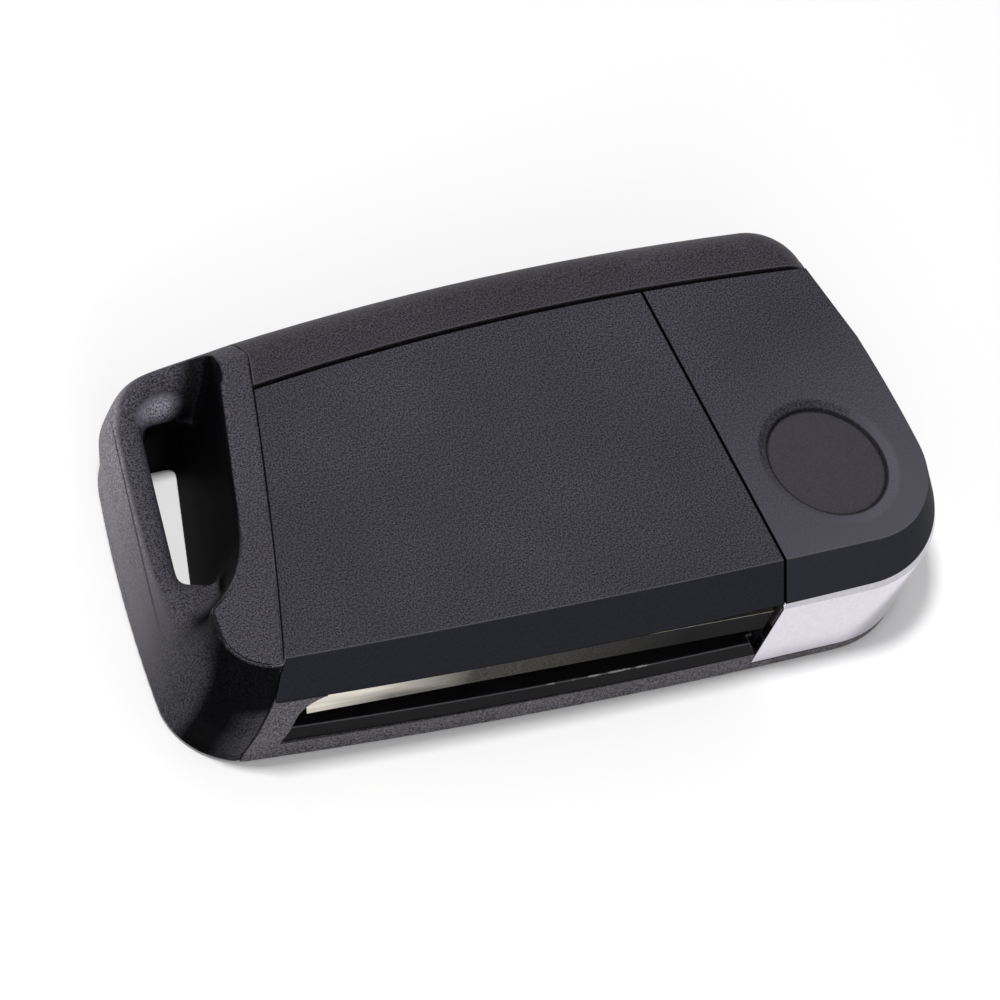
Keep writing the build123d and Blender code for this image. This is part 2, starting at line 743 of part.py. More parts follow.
with BuildPart() as scoop:
    # Floor of the scoop: along the bar, then up in a curve to the far rim
    with BuildSketch(Plane.YZ.offset(-reach)):
        with BuildLine():
            floor_near = (slot_near_y - scoop_lip, bar_near_height)
            floor_far = (slot_far_y, bar_far_height)
            near_rim = (slot_near_y - scoop_near_reach, key_thickness)
            rim = (slot_far_y + scoop_rim_behind, scoop_rim_height)
            beyond_rim = (reach, scoop_rim_height + scoop_rim_rise * (reach - rim[0]))
            bar_run = Line(floor_near, floor_far)
            Spline(floor_far, rim, tangents=((1, scoop_rise), (1, scoop_rim_rise)))
            Polyline(rim, beyond_rim, (reach, reach), (near_rim[0], reach), near_rim)
            Spline(near_rim, floor_near, tangents=((1, -scoop_near_rise), bar_run % 0))
        make_face()
    extrude(amount=2 * reach)
    # Behind the opening the floor dips in a soft lip
    with BuildSketch(Plane.YZ.offset(slot_far_x)):
        with BuildLine():
            lip_low = (slot_far_y - slip_gap, bar_far_height - lip_drop)
            lip_high = (slot_far_y + lip_reach, bar_far_height + lip_rise)
            Spline(lip_low, lip_high, tangents=((1, lip_low_slope), (1, lip_high_slope)))
            Polyline(lip_high, (lip_high[0], key_thickness), (lip_low[0], key_thickness), lip_low)
        make_face()
    extrude(amount=reach)
    # Its edge on the top face
    with BuildSketch(Plane(origin=(ring_end_x, 0, 0))):
        with BuildLine():
            edge_run = Line(plateau_far, plateau_bend)
            edge_turn = TangentArc(plateau_bend, plateau_cusp, tangent=edge_run % 1)
            beyond = edge_turn @ 1 + (edge_turn % 1) * half_width
            Polyline(plateau_cusp, beyond, (-reach, beyond.Y), (-reach, reach), (plateau_far[0], reach),
                     plateau_far)
        make_face()
    extrude(amount=2 * key_thickness, mode=Mode.INTERSECT)

with BuildPart() as cap_form:
    for height in cap_heights:
        with BuildSketch(Plane.XY.offset(height)):
            add(cap_plan(height))
    loft()

with BuildPart() as ring_cap:
    add(cap_form.part)
    add(wall_form.part)
    with BuildSketch():
        add(ring_side(-seam_gap / 2))
    extrude(amount=key_thickness, mode=Mode.INTERSECT)
    add(scoop.part, mode=Mode.SUBTRACT)
    # Key-ring opening right through the cap
    with BuildSketch() as ring_slot:
        with BuildLine():
            Polyline((slot_top_x, slot_far_y), (slot_far_x, slot_far_y),
                     (slot_near_x, slot_near_y), (slot_bend_x, slot_bend_y), close=True)
        make_face()
        near_ends = ring_slot.vertices().sort_by(Axis.Y)[:2]
        fillet(near_ends, slot_near_corner)
    extrude(amount=key_thickness, mode=Mode.SUBTRACT)
    # Tongue that plugs into the frame
    with BuildSketch(Plane.XY.offset(tongue_bottom)):
        with Locations((tongue_end_x, tongue_y)):
            Rectangle(tongue_length, 2 * tongue_half_width, align=(Align.MAX, Align.CENTER))
    extrude(amount=tongue_thickness)
    with BuildSketch(Plane.XY.offset(tongue_bottom)):
        with Locations((cap_screw_x, tongue_y)):
            Circle(screw_radius + journal_gap)
    extrude(amount=tongue_thickness, mode=Mode.SUBTRACT)

# Flip head: black body with a bore for the release button, a pocket for the blade and a journal on top
trim_top_y = pivot_y + trim_past_pivot
blade_root = -head_face_from_pivot
tang_near = blade_near + tang_step
pin_place = (blade_root + tang_length / 2, tang_near + tang_width / 2)
lug_top = head_bottom + slip_gap + lug_height
journal_top = cover_floor - stack_gap - recess_depth


def blade_plane(height):
    """Plane at a height, in the frame of the folded blade."""
    return Plane(origin=(pivot_x, pivot_y, height), x_dir=blade_along, z_dir=(0, 0, 1))


def head_plan(inset):
    """Round head with one square corner at the blade's side, cut flat where the blade leaves it."""
    with BuildSketch() as plan:
        with Locations((pivot_x, pivot_y)):
            Circle(head_radius - inset)
            Rectangle(head_radius, head_radius - inset, align=(Align.MAX, Align.MAX))
        with Locations((head_face_x, pivot_y)):
            Rectangle(reach, reach, align=(Align.MAX, Align.CENTER), mode=Mode.SUBTRACT)
    return plan.sketch


with BuildSketch() as trim_area:
    add(head_plan(0))
    add(head_plan(trim_thickness), mode=Mode.SUBTRACT)
    with Locations((pivot_x, trim_top_y)):
        Rectangle(reach, reach, align=(Align.CENTER, Align.MAX), mode=Mode.INTERSECT)
    with Locations((pivot_x, pivot_y)):
        Rectangle(reach, reach, align=(Align.MAX, Align.MIN), mode=Mode.SUBTRACT)

with BuildPart() as head_trim:
    with BuildSketch(Plane.XY.offset(head_bottom)):
        add(head_plan(0))
    extrude(amount=head_top - head_bottom)
    rim_edges = head_trim.faces().sort_by(Axis.Z)[-1].edges()
    chamfer(rim_edges.filter_by(lambda edge: edge.center().X > head_face_x + trim_bevel), trim_bevel)
    with BuildSketch(Plane.XY.offset(head_bottom)):
        add(trim_area.sketch)
    extrude(amount=head_top - head_bottom, mode=Mode.INTERSECT)

with BuildPart() as flip_head:
    with BuildSketch(Plane.XY.offset(head_bottom)):
        add(head_plan(0))
        add(trim_area.sketch, mode=Mode.SUBTRACT)
    extrude(amount=head_top - head_bottom)
    with BuildSketch(Plane.XY.offset(head_top)):
        with Locations((pivot_x, pivot_y)):
            Circle(journal_radius)
    extrude(amount=journal_top - head_top)
    with BuildSketch(Plane.XY.offset(head_bottom)):
        with Locations((pivot_x, pivot_y)):
            Circle(bore_radius)
    extrude(amount=bore_roof - head_bottom, mode=Mode.SUBTRACT)
    with BuildSketch(Plane.XY.offset(head_bottom)):
        with Locations((pivot_x, pivot_y)):
            Rectangle(2 * (lug_reach + sliding_gap), lug_width + 2 * sliding_gap)
    extrude(amount=lug_top + release_travel + sliding_gap - head_bottom, mode=Mode.SUBTRACT)
    # Pocket for the blade's tang, and the cross hole for its pin
    with BuildSketch(blade_plane(blade_bottom - press_gap)):
        with Locations((blade_root, tang_near - press_gap)):
            Rectangle(2 * (tang_length + press_gap), tang_width + 2 * press_gap,
                      align=(Align.CENTER, Align.MIN))
    extrude(amount=blade_thickness + 2 * press_gap, mode=Mode.SUBTRACT)
    with BuildSketch(blade_plane(head_bottom)):
        with Locations(pin_place):
            Circle(pin_radius + press_gap)
    extrude(amount=head_top - head_bottom, mode=Mode.SUBTRACT)

# Blade: flat blank with a milled track on each side, a stepped tang and a slanted end
blade_top = blade_bottom + blade_thickness
blade_mid = (blade_near + blade_far) / 2
track_from = blade_root - track_start
track_crest = track_from - track_wave_length / 2
track_trough = track_from - track_wave_length

with BuildPart() as key_blade:
    with BuildSketch(blade_plane(blade_bottom)):
        with BuildLine():
            Polyline((blade_root, blade_near), (-tip_out, blade_near), (-tip_out, blade_mid),
                     (blade_tip_slope - tip_out, blade_far), (blade_root, blade_far), close=True)
        make_face()
        with Locations((blade_root, tang_near)):
            Rectangle(2 * tang_length, tang_width, align=(Align.CENTER, Align.MIN))
        fillet(vertices().group_by(Axis.X)[0], blade_tip_corner)
    extrude(amount=blade_thickness)
    for track_height, cut in ((blade_bottom, track_depth), (blade_top, -track_depth)):
        with BuildSketch(blade_plane(track_height)):
            with BuildLine():
                Spline((track_from, blade_mid), (track_crest, blade_mid + track_wave),
                       (track_trough, blade_mid - track_wave), (track_width - tip_out, blade_mid))
            trace(line_width=track_width)
        extrude(amount=cut, mode=Mode.SUBTRACT)
    # The end leans: its foot lies further in than its top
    with BuildSketch(Plane(origin=(pivot_x, pivot_y, 0), x_dir=blade_along, z_dir=blade_across)) as tip_side:
        with BuildLine():
            Polyline((-tip_out, -blade_bottom), (blade_tip_undercut - tip_out, -blade_bottom),
                     (-tip_out, -blade_top), close=True)
        make_face()
    extrude(amount=reach, both=True, mode=Mode.SUBTRACT)
    with BuildSketch(blade_plane(blade_bottom)):
        with Locations(pin_place):
            Circle(pin_radius + press_gap)
    extrude(amount=blade_thickness, mode=Mode.SUBTRACT)

with BuildPart() as blade_pin:
    with BuildSketch(blade_plane(head_bottom + stack_gap)):
        with Locations(pin_place):
            Circle(pin_radius)
    extrude(amount=head_top - head_bottom - 2 * stack_gap)
    chamfer(blade_pin.edges(), pin_chamfer)

# Round release button: a cup on the pivot line with two lugs
cup_floor = release_recess + release_floor

with BuildPart() as release_button:
    with BuildSketch(Plane.XY.offset(release_recess)):
        with Locations((pivot_x, pivot_y)):
            Circle(release_radius)
    extrude(amount=release_height)
    chamfer(release_button.faces().sort_by(Axis.Z)[0].edges(), release_chamfer)
    with BuildSketch(Plane.XY.offset(cup_floor)):
        with Locations((pivot_x, pivot_y)):
            Circle(release_radius - release_wall)
    extrude(amount=release_height, mode=Mode.SUBTRACT)
    with BuildSketch(Plane.XY.offset(head_bottom + slip_gap)):
        with Locations((pivot_x, pivot_y)):
            Rectangle(2 * lug_reach, lug_width)
            Circle(release_radius - release_wall, mode=Mode.SUBTRACT)
    extrude(amount=lug_height)

with BuildPart() as spring_washer:
    with BuildSketch(Plane.XY.offset(bore_roof - washer_thickness)):
        with Locations((pivot_x, pivot_y)):
            Circle(bore_radius - sliding_gap)
            Circle(washer_hole_radius, mode=Mode.SUBTRACT)
    extrude(amount=washer_thickness)

spring_low = cup_floor + spring_wire
spring_high = bore_roof - washer_thickness - spring_wire

with BuildPart() as flip_spring:
    with BuildLine():
        coil = Helix(spring_pitch, spring_high - spring_low, spring_radius,
                     center=(pivot_x, pivot_y, spring_low))
    with BuildSketch(Plane(origin=coil @ 0, z_dir=coil % 0)):
        RegularPolygon(spring_wire, 8)
    sweep(path=coil, is_frenet=True)

# Three buttons with flanges behind the floor of the front shell
flange_bottom = front_floor + stack_gap


def make_button(place):
    """One rounded pad that fills its opening, with a wider flange inside."""
    with BuildPart() as button:
        with BuildSketch(Plane.XY.offset(button_recess)):
            with Locations(place):
                RectangleRounded(button_size_x - 2 * sliding_gap, button_size_y - 2 * sliding_gap,
                                 button_corner - sliding_gap)
        extrude(amount=flange_bottom - button_recess + flange_thickness)
        chamfer(button.faces().sort_by(Axis.Z)[0].edges(), button_edge)
        with BuildSketch(Plane.XY.offset(flange_bottom)):
            with Locations(place):
                RectangleRounded(button_size_x + 2 * button_flange, button_size_y + 2 * button_flange,
                                 button_corner + button_flange)
        extrude(amount=flange_thickness)
    return button


unlock_button, boot_button, lock_button = [make_button(place) for place in button_places]

# Rubber membrane between the buttons and the switches
membrane_bottom = flange_bottom + flange_thickness + button_travel + stack_gap
membrane_top = membrane_bottom + membrane_thickness
membrane_margin = button_flange + sliding_gap + membrane_rim
membrane_size_x = 2 * button_pitch + button_size_x + 2 * membrane_margin
membrane_size_y = button_size_y + 2 * membrane_margin

with BuildPart() as keypad_membrane:
    with BuildSketch(Plane.XY.offset(membrane_bottom)):
        with Locations((button_row_x, button_row_y)):
            RectangleRounded(membrane_size_x, membrane_size_y, button_corner)
    extrude(amount=membrane_thickness)
    with BuildSketch(Plane.XY.offset(membrane_bottom)):
        with Locations((button_row_x, button_row_y)):
            RectangleRounded(membrane_size_x, membrane_size_y, button_corner)
            RectangleRounded(membrane_size_x - 2 * membrane_rim, membrane_size_y - 2 * membrane_rim,
                             button_corner, mode=Mode.SUBTRACT)
    extrude(amount=front_floor - membrane_bottom)

# Circuit board with cut-outs for the screw bosses, and what is soldered to it
board_top = board_height + board_thickness
board_margin = frame_wall + board_side_gap

with BuildPart() as circuit_board:
    with BuildSketch(Plane.XY.offset(board_height)):
        add(key_plan(shell_wall + slip_gap + board_margin))
        add(ring_side(seam_gap / 2 + slip_gap + board_margin), mode=Mode.SUBTRACT)
        with Locations((0, bay_back_y + board_margin)):
            Rectangle(2 * reach, reach, align=(Align.CENTER, Align.MIN), mode=Mode.INTERSECT)
        with Locations((pivot_x, pivot_y)):
            Circle(head_bay_radius + board_margin, mode=Mode.SUBTRACT)
        with Locations((pivot_x, head_bay_far_y + board_margin)):
            Rectangle(reach, reach, align=(Align.MIN, Align.MAX), mode=Mode.SUBTRACT)
        with Locations(*case_screw_places):
            Circle(boss_radius + sliding_gap, mode=Mode.SUBTRACT)
        with Locations(*post_places):
            Circle(pilot_radius + sliding_gap, mode=Mode.SUBTRACT)
    extrude(amount=board_thickness)


def make_switch(place):
    """One push switch under the board, with its round plunger towards the button."""
    with BuildPart() as switch:
        with BuildSketch(Plane.XY.offset(board_height)):
            with Locations(place):
                Rectangle(switch_size, switch_size)
        extrude(amount=-switch_height)
        with BuildSketch(Plane.XY.offset(board_height - switch_height)):
            with Locations(place):
                Circle(plunger_radius)
        extrude(amount=membrane_top - board_height + switch_height)
    return switch


unlock_switch, boot_switch, lock_switch = [make_switch(place) for place in button_places]


def chip(place, size):
    """One flat block soldered on top of the board."""
    with BuildPart() as block:
        with BuildSketch(Plane.XY.offset(board_top)):
            with Locations(place):
                Rectangle(size[0], size[1])
        extrude(amount=size[2])
    return block


microcontroller = chip(controller_place, controller_size)
radio_chip = chip(radio_place, radio_size)
quartz_crystal = chip(crystal_place, crystal_size)

with BuildPart() as small_parts:
    with BuildSketch(Plane.XY.offset(board_top)):
        with Locations(small_part_row):
            with GridLocations(small_part_pitch[0], small_part_pitch[1], 4, 2):
                Rectangle(small_part_size[0], small_part_size[1])
        with Locations(*small_part_places):
            Rectangle(small_part_size[1], small_part_size[0])
    extrude(amount=small_part_size[2])

# Antenna coil on a ferrite bar beside the flip head
with BuildPart() as ferrite_bar:
    with BuildSketch(Plane.XY.offset(board_top + (winding_height - ferrite_height) / 2)):
        with Locations((coil_x, coil_y)):
            Rectangle(ferrite_length, ferrite_width)
    extrude(amount=ferrite_height)

with BuildPart() as antenna_coil:
    with BuildSketch(Plane.YZ.offset(coil_x - coil_length / 2)):
        with Locations((coil_y, board_top + winding_height / 2)):
            RectangleRounded(winding_width, winding_height, winding_corner)
            Rectangle(ferrite_width, ferrite_height, mode=Mode.SUBTRACT)
    extrude(amount=coil_length)

# Coin cell and its two contacts
with BuildPart() as coin_cell:
    with BuildSketch(Plane.XY.offset(cell_bottom)):
        with Locations((cell_x, cell_y)):
            Circle(can_step_radius)
    extrude(amount=can_step)
    with BuildSketch(Plane.XY.offset(cell_bottom + can_step)):
        with Locations((cell_x, cell_y)):
            Circle(cell_radius)
    extrude(amount=cell_thickness - can_step)
    chamfer(coin_cell.faces().sort_by(Axis.Z)[-1].edges(), can_step)

with BuildPart() as minus_contact:
    with BuildSketch(Plane.XY.offset(tray_floor_top)):
        with Locations((cell_x, cell_y)):
            Rectangle(contact_length, contact_width)
            Rectangle(contact_width, contact_length)
    extrude(amount=cell_bottom - tray_floor_top)

with BuildPart() as plus_contact:
    with BuildSketch(Plane.XY.offset(tray_floor_top)):
        with Locations((cell_x, cell_y)):
            Circle(cell_radius + well_gap - press_gap)
            Circle(cell_radius + press_gap, mode=Mode.SUBTRACT)
        with Locations((cell_x, cell_y - cell_radius)):
            Rectangle(contact_width, contact_width, mode=Mode.INTERSECT)
    extrude(amount=cell_thickness)

# Screws: three through the frame into the front shell, three for the board, one for the ring cap
thread_radius = pilot_radius - press_gap


def make_screws(places, head_height, length):
    """Pan-head screws standing in their holes, with a cross slot in each head."""
    with BuildPart() as screws:
        with BuildSketch(Plane.XY.offset(head_height)):
            with Locations(*places):
                Circle(screw_head_radius)
        extrude(amount=screw_head_height)
        with BuildSketch(Plane.XY.offset(head_height + screw_head_height)):
            with Locations(*places):
                Rectangle(screw_slot_length, screw_slot_width)
                Rectangle(screw_slot_width, screw_slot_length)
        extrude(amount=-screw_head_height / 2, mode=Mode.SUBTRACT)
        with BuildSketch(Plane.XY.offset(head_height)):
            with Locations(*places):
                Circle(thread_radius)
        extrude(amount=-length)
    return screws


case_screws = make_screws(case_screw_places, tray_floor_top, case_screw_length)
board_screws = make_screws(post_places, board_top, board_screw_length)
cap_screw = make_screws([(cap_screw_x, tongue_y)], tongue_bottom + tongue_thickness, cap_screw_length)

pieces = {
    "front_housing": front_housing,
    "rear_housing": rear_housing,
    "chassis": chassis,
    "battery_cover": battery_cover,
    "corner_cover": corner_cover,
    "ring_cap": ring_cap,
    "flip_head": flip_head,
    "head_trim": head_trim,
    "key_blade": key_blade,
    "blade_pin": blade_pin,
    "release_button": release_button,
    "spring_washer": spring_washer,
    "flip_spring": flip_spring,
    "unlock_button": unlock_button,
    "boot_button": boot_button,
    "lock_button": lock_button,
    "keypad_membrane": keypad_membrane,
    "circuit_board": circuit_board,
    "unlock_switch": unlock_switch,
    "boot_switch": boot_switch,
    "lock_switch": lock_switch,
    "microcontroller": microcontroller,
    "radio_chip": radio_chip,
    "quartz_crystal": quartz_crystal,
    "small_parts": small_parts,
    "ferrite_bar": ferrite_bar,
    "antenna_coil": antenna_coil,
    "coin_cell": coin_cell,
    "minus_contact": minus_contact,
    "plus_contact": plus_contact,
    "case_screws": case_screws,
    "board_screws": board_screws,
    "cap_screw": cap_screw,
}

os.makedirs("parts", exist_ok=True)
for name, piece in pieces.items():
    piece.part.label = name
    export_step(piece.part, f"parts/{name}.step")
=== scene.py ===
import json
from math import cos, radians, sin

import bpy
import numpy as np
from mathutils import Matrix, Vector


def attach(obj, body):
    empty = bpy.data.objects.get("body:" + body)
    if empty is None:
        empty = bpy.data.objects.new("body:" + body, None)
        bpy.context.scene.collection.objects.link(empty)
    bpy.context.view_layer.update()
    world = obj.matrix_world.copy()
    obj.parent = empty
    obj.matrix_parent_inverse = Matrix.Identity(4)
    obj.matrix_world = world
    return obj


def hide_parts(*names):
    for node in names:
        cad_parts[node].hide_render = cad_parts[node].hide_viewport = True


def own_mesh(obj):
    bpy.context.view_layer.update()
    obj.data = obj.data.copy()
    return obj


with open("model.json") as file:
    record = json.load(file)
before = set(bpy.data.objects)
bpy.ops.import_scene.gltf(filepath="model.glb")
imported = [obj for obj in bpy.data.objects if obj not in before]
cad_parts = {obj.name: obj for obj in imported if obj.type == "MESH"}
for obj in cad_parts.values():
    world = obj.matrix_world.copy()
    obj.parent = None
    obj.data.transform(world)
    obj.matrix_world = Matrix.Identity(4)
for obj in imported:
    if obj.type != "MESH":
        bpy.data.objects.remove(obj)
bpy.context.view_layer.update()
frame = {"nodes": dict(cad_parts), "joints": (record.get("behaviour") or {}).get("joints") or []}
nodes = frame["nodes"]
joints = {joint["name"]: joint for joint in frame["joints"]}
scene = bpy.context.scene

MM = 0.001
X, Y, Z = 0, 1, 2
PLACE, NORMAL = "Object", "Normal"

# Camera: long lens, looking down on the closed key from the ring end and the blade side
AZIMUTH, ELEVATION, ROLL = -49.24, 48.75, 29.17
TARGET = Vector((-1.65, -1.3, 6.75)) * MM
DISTANCE = 617.6 * MM
SENSOR_WIDTH, FOCAL_LENGTH = 36.0, 252.0

# Ring cap in plan: the inner side of the key-ring opening, and the raised part's rim, straight and then round
OPENING_FAR = Vector((-31.6, 12.35)) * MM
OPENING_NEAR = Vector((-35.11, -3.6)) * MM
RIM_FAR = Vector((-25.1, 15.5)) * MM
RIM_BEND = Vector((-31.15, -2.6)) * MM
RIM_END = np.array((-36.9, -9.5)) * MM
SQUARE_TO_OPENING = (0.9767, -0.2149, 0.0)
SQUARE_TO_RIM = (0.9484, -0.317, 0.0)

# Pivot of the flip head, which is also the middle of the corner cover's round recess
pivot_x, pivot_y, _ = joints["blade_flip"]["pos_m"]
RECESS_RADIUS = 5.7

# Specular level of grained plastic, and of its darkest zones
PLASTIC_GLOSS, LEAST_GLOSS = 0.14, 0.01


def camera_axes(azimuth, elevation, roll):
    """Right, up and back directions of a camera that stands at these angles."""
    a, e, r = radians(azimuth), radians(elevation), radians(roll)
    right = Vector((cos(a), sin(a), 0.0))
    back = Vector((sin(a) * cos(e), -cos(a) * cos(e), sin(e)))
    up = back.cross(right)
    return cos(r) * right + sin(r) * up, cos(r) * up - sin(r) * right, back


def photo_camera():
    """Camera that sees the key as the photograph does."""
    right, up, back = camera_axes(AZIMUTH, ELEVATION, ROLL)
    lens = bpy.data.cameras.new("camera")
    lens.sensor_width = SENSOR_WIDTH
    lens.lens = FOCAL_LENGTH
    lens.clip_start = 0.01
    lens.clip_end = 20.0
    camera = bpy.data.objects.new("camera", lens)
    scene.collection.objects.link(camera)
    turn = Matrix((right, up, back)).transposed().to_4x4()
    camera.matrix_world = Matrix.Translation(TARGET + DISTANCE * back) @ turn
    scene.camera = camera


photo_camera()


# Node helpers: those that add a node to a tree return the socket with its result

def srgb(red, green, blue):
    """Linear colour of a shade given as it looks on a screen, from 0 to 255."""
    def linear(value):
        value = value / 255.0
        return value / 12.92 if value <= 0.04045 else ((value + 0.055) / 1.055) ** 2.4

    return (linear(red), linear(green), linear(blue), 1.0)


def material(name):
    """An empty node material, its node tree and its shader."""
    made = bpy.data.materials.new(name)
    made.use_nodes = True
    tree = made.node_tree
    tree.nodes.clear()
    output = tree.nodes.new("ShaderNodeOutputMaterial")
    shader = tree.nodes.new("ShaderNodeBsdfPrincipled")
    tree.links.new(shader.outputs["BSDF"], output.inputs["Surface"])
    return made, tree, shader


def feed(tree, value, socket):
    """Links a result on to a socket, or sets the socket where the value is a number or a colour."""
    if isinstance(value, bpy.types.NodeSocket):
        tree.links.new(value, socket)
    else:
        socket.default_value = value


def maths(tree, operation, first, second):
    """Result of an operation on two numbers or sockets."""
    node = tree.nodes.new("ShaderNodeMath")
    node.operation = operation
    feed(tree, first, node.inputs[0])
    feed(tree, second, node.inputs[1])
    return node.outputs[0]


def times(tree, first, second):
    """Product of two values."""
    return maths(tree, "MULTIPLY", first, second)


def larger(tree, first, second):
    """The larger one of two values."""
    return maths(tree, "MAXIMUM", first, second)


def vector_maths(tree, operation, first, second=None):
    """Result of an operation on vectors: a number for a length or a dot product, else a vector."""
    node = tree.nodes.new("ShaderNodeVectorMath")
    node.operation = operation
    feed(tree, first, node.inputs[0])
    if second is not None:
        feed(tree, second, node.inputs[1])
    return node.outputs["Value" if operation in ("LENGTH", "DOT_PRODUCT") else "Vector"]


def mixed(tree, factor, first, second):
    """Blend of two colours by a factor; each may be a colour or a socket."""
    node = tree.nodes.new("ShaderNodeMix")
    node.data_type = "RGBA"
    factor_in, first_in, second_in, colour_out = 0, 6, 7, 2
    feed(tree, factor, node.inputs[factor_in])
    feed(tree, first, node.inputs[first_in])
    feed(tree, second, node.inputs[second_in])
    return node.outputs[colour_out]


def spread(tree, value, low, high, from_low=0.3, from_high=0.7):
    """Takes a value from one range to another, held at the ends."""
    node = tree.nodes.new("ShaderNodeMapRange")
    node.inputs["From Min"].default_value = from_low
    node.inputs["From Max"].default_value = from_high
    node.inputs["To Min"].default_value = low
    node.inputs["To Max"].default_value = high
    tree.links.new(value, node.inputs["Value"])
    return node.outputs["Result"]


def surface(tree, source):
    """The place in the key's own coordinates, or the normal, as a vector."""
    return tree.nodes.new("ShaderNodeTexCoord").outputs[source]


def component(tree, source, axis):
    """One of the three values of the place or of the normal."""
    parts = tree.nodes.new("ShaderNodeSeparateXYZ")
    tree.links.new(surface(tree, source), parts.inputs[0])
    return parts.outputs[axis]


def reach(tree, direction):
    """How far the place lies along a slanted direction."""
    return vector_maths(tree, "DOT_PRODUCT", surface(tree, PLACE), direction)


def noise(tree, scale, detail=2.0, roughness=0.5, stretch=(1.0, 1.0, 1.0)):
    """Noise in the key's own coordinates, its scale in features per metre."""
    mapping = tree.nodes.new("ShaderNodeMapping")
    mapping.inputs["Scale"].default_value = stretch
    texture = tree.nodes.new("ShaderNodeTexNoise")
    texture.inputs["Scale"].default_value = scale
    texture.inputs["Detail"].default_value = detail
    texture.inputs["Roughness"].default_value = roughness
    tree.links.new(surface(tree, PLACE), mapping.inputs["Vector"])
    tree.links.new(mapping.outputs["Vector"], texture.inputs["Vector"])
    return texture.outputs["Fac"]


def along(tree, source, axis, start, end):
    """Share from 0 at the start to 1 at the end along an axis: of the place in mm, or of the normal."""
    unit = MM if source == PLACE else 1.0
    return spread(tree, component(tree, source, axis), 0.0, 1.0, start * unit, end * unit)


def across(tree, direction, start, end):
    """Share from 0 at the start to 1 at the end, in mm, measured along a slanted direction."""
    return spread(tree, reach(tree, direction), 0.0, 1.0, start * MM, end * MM)


def between(tree, value, low, high, soft):
    """Share that is 1 from low to high and falls to 0 over a soft stretch beyond them, all in mm."""
    rising = spread(tree, value, 0.0, 1.0, (low - soft) * MM, low * MM)
    falling = spread(tree, value, 0.0, 1.0, (high + soft) * MM, high * MM)
    return times(tree, rising, falling)


def spot(tree, centre, size):
    """Share that is 1 at a place in mm and falls to 0 at a distance of its size, each way its own."""
    mapping = tree.nodes.new("ShaderNodeMapping")
    mapping.vector_type = "TEXTURE"
    mapping.inputs["Location"].default_value = [v * MM for v in centre]
    mapping.inputs["Scale"].default_value = [v * MM for v in size]
    tree.links.new(surface(tree, PLACE), mapping.inputs["Vector"])
    distance = vector_maths(tree, "LENGTH", mapping.outputs["Vector"])
    return spread(tree, distance, 1.0, 0.0, 0.0, 1.0)


def rounded(tree, radius):
    """Normal of the surface with its edges softened by a small radius."""
    node = tree.nodes.new("ShaderNodeBevel")
    node.samples = 6
    node.inputs["Radius"].default_value = radius
    return node.outputs["Normal"]


def edge_share(tree, soft_normal, low=0.01, high=0.12):
    """Share that is 1 on an edge: where the softened normal leaves the true one."""
    true_normal = tree.nodes.new("ShaderNodeNewGeometry").outputs["True Normal"]
    agreement = vector_maths(tree, "DOT_PRODUCT", soft_normal, true_normal)
    return spread(tree, agreement, 0.0, 1.0, 1.0 - low, 1.0 - high)


def seen_rays(tree):
    """Share that is 1 for what the camera sees, straight, mirrored or through glass."""
    rays = tree.nodes.new("ShaderNodeLightPath").outputs
    straight_or_mirrored = larger(tree, rays["Is Camera Ray"], rays["Is Glossy Ray"])
    return larger(tree, straight_or_mirrored, rays["Is Transmission Ray"])


def relief(tree, shader, height, depth, normal=None):
    """Gives the shader a bump from a height, on a softened normal where one is given."""
    bump = tree.nodes.new("ShaderNodeBump")
    bump.inputs["Distance"].default_value = depth
    tree.links.new(height, bump.inputs["Height"])
    if normal is not None:
        tree.links.new(normal, bump.inputs["Normal"])
    tree.links.new(bump.outputs["Normal"], shader.inputs["Normal"])


# Masks: each is the share that a place has in one zone of a moulded surface

def bevel_band_shade(tree):
    """The slanted band below the top face, painted dark as shade, with less grain and gloss."""
    return along(tree, NORMAL, Z, 0.94, 0.86)


def cap_band_shade(tree):
    """The same band of painted shade on the ring cap, from the seam round the near corner, where it fades."""
    near = along(tree, PLACE, Y, -7.6, -9.2)
    high = across(tree, (-0.36, 0.0, 1.0), 20.2, 21.6)
    slanted = along(tree, NORMAL, Z, 0.98, 0.92)
    toward_seam = along(tree, PLACE, X, -38.6, -36.8)
    return times(tree, times(tree, near, high), times(tree, slanted, toward_seam))


def cap_wall_light(tree):
    """Painted light on the ring cap's outer wall, palest at its far corner."""
    upright = along(tree, NORMAL, Z, 0.8, 0.35)
    outside = along(tree, NORMAL, X, -0.15, -0.7)
    toward_far = along(tree, PLACE, Y, -11.0, 10.0)
    return times(tree, times(tree, toward_far, upright), outside)


def cap_foot(tree):
    """The ring cap's near corner below the band, in the shade."""
    upright = along(tree, NORMAL, Z, 0.9, 0.6)
    return times(tree, upright, along(tree, PLACE, Y, -4.0, -13.0))


def clear_of_outside(tree):
    """Share that is 0 on the outside of the ring cap's far corner."""
    away_from_corner = (0.7071, -0.7071, 0.0)
    return across(tree, away_from_corner, -32.8, -32.0)


def cap_slot(tree):
    """The walls round the key-ring opening, in the shade of the scoop."""
    inside = across(tree, SQUARE_TO_OPENING, -34.6, -33.9)
    toward_ring = along(tree, NORMAL, X, -0.3, -0.65)
    toward_near = times(tree, along(tree, NORMAL, Y, -0.5, -0.85), along(tree, PLACE, Z, 9.0, 7.8))
    far_wall = times(tree, toward_near, along(tree, PLACE, Y, 9.0, 10.0))
    walls = larger(tree, toward_ring, far_wall)
    return times(tree, times(tree, walls, inside), clear_of_outside(tree))


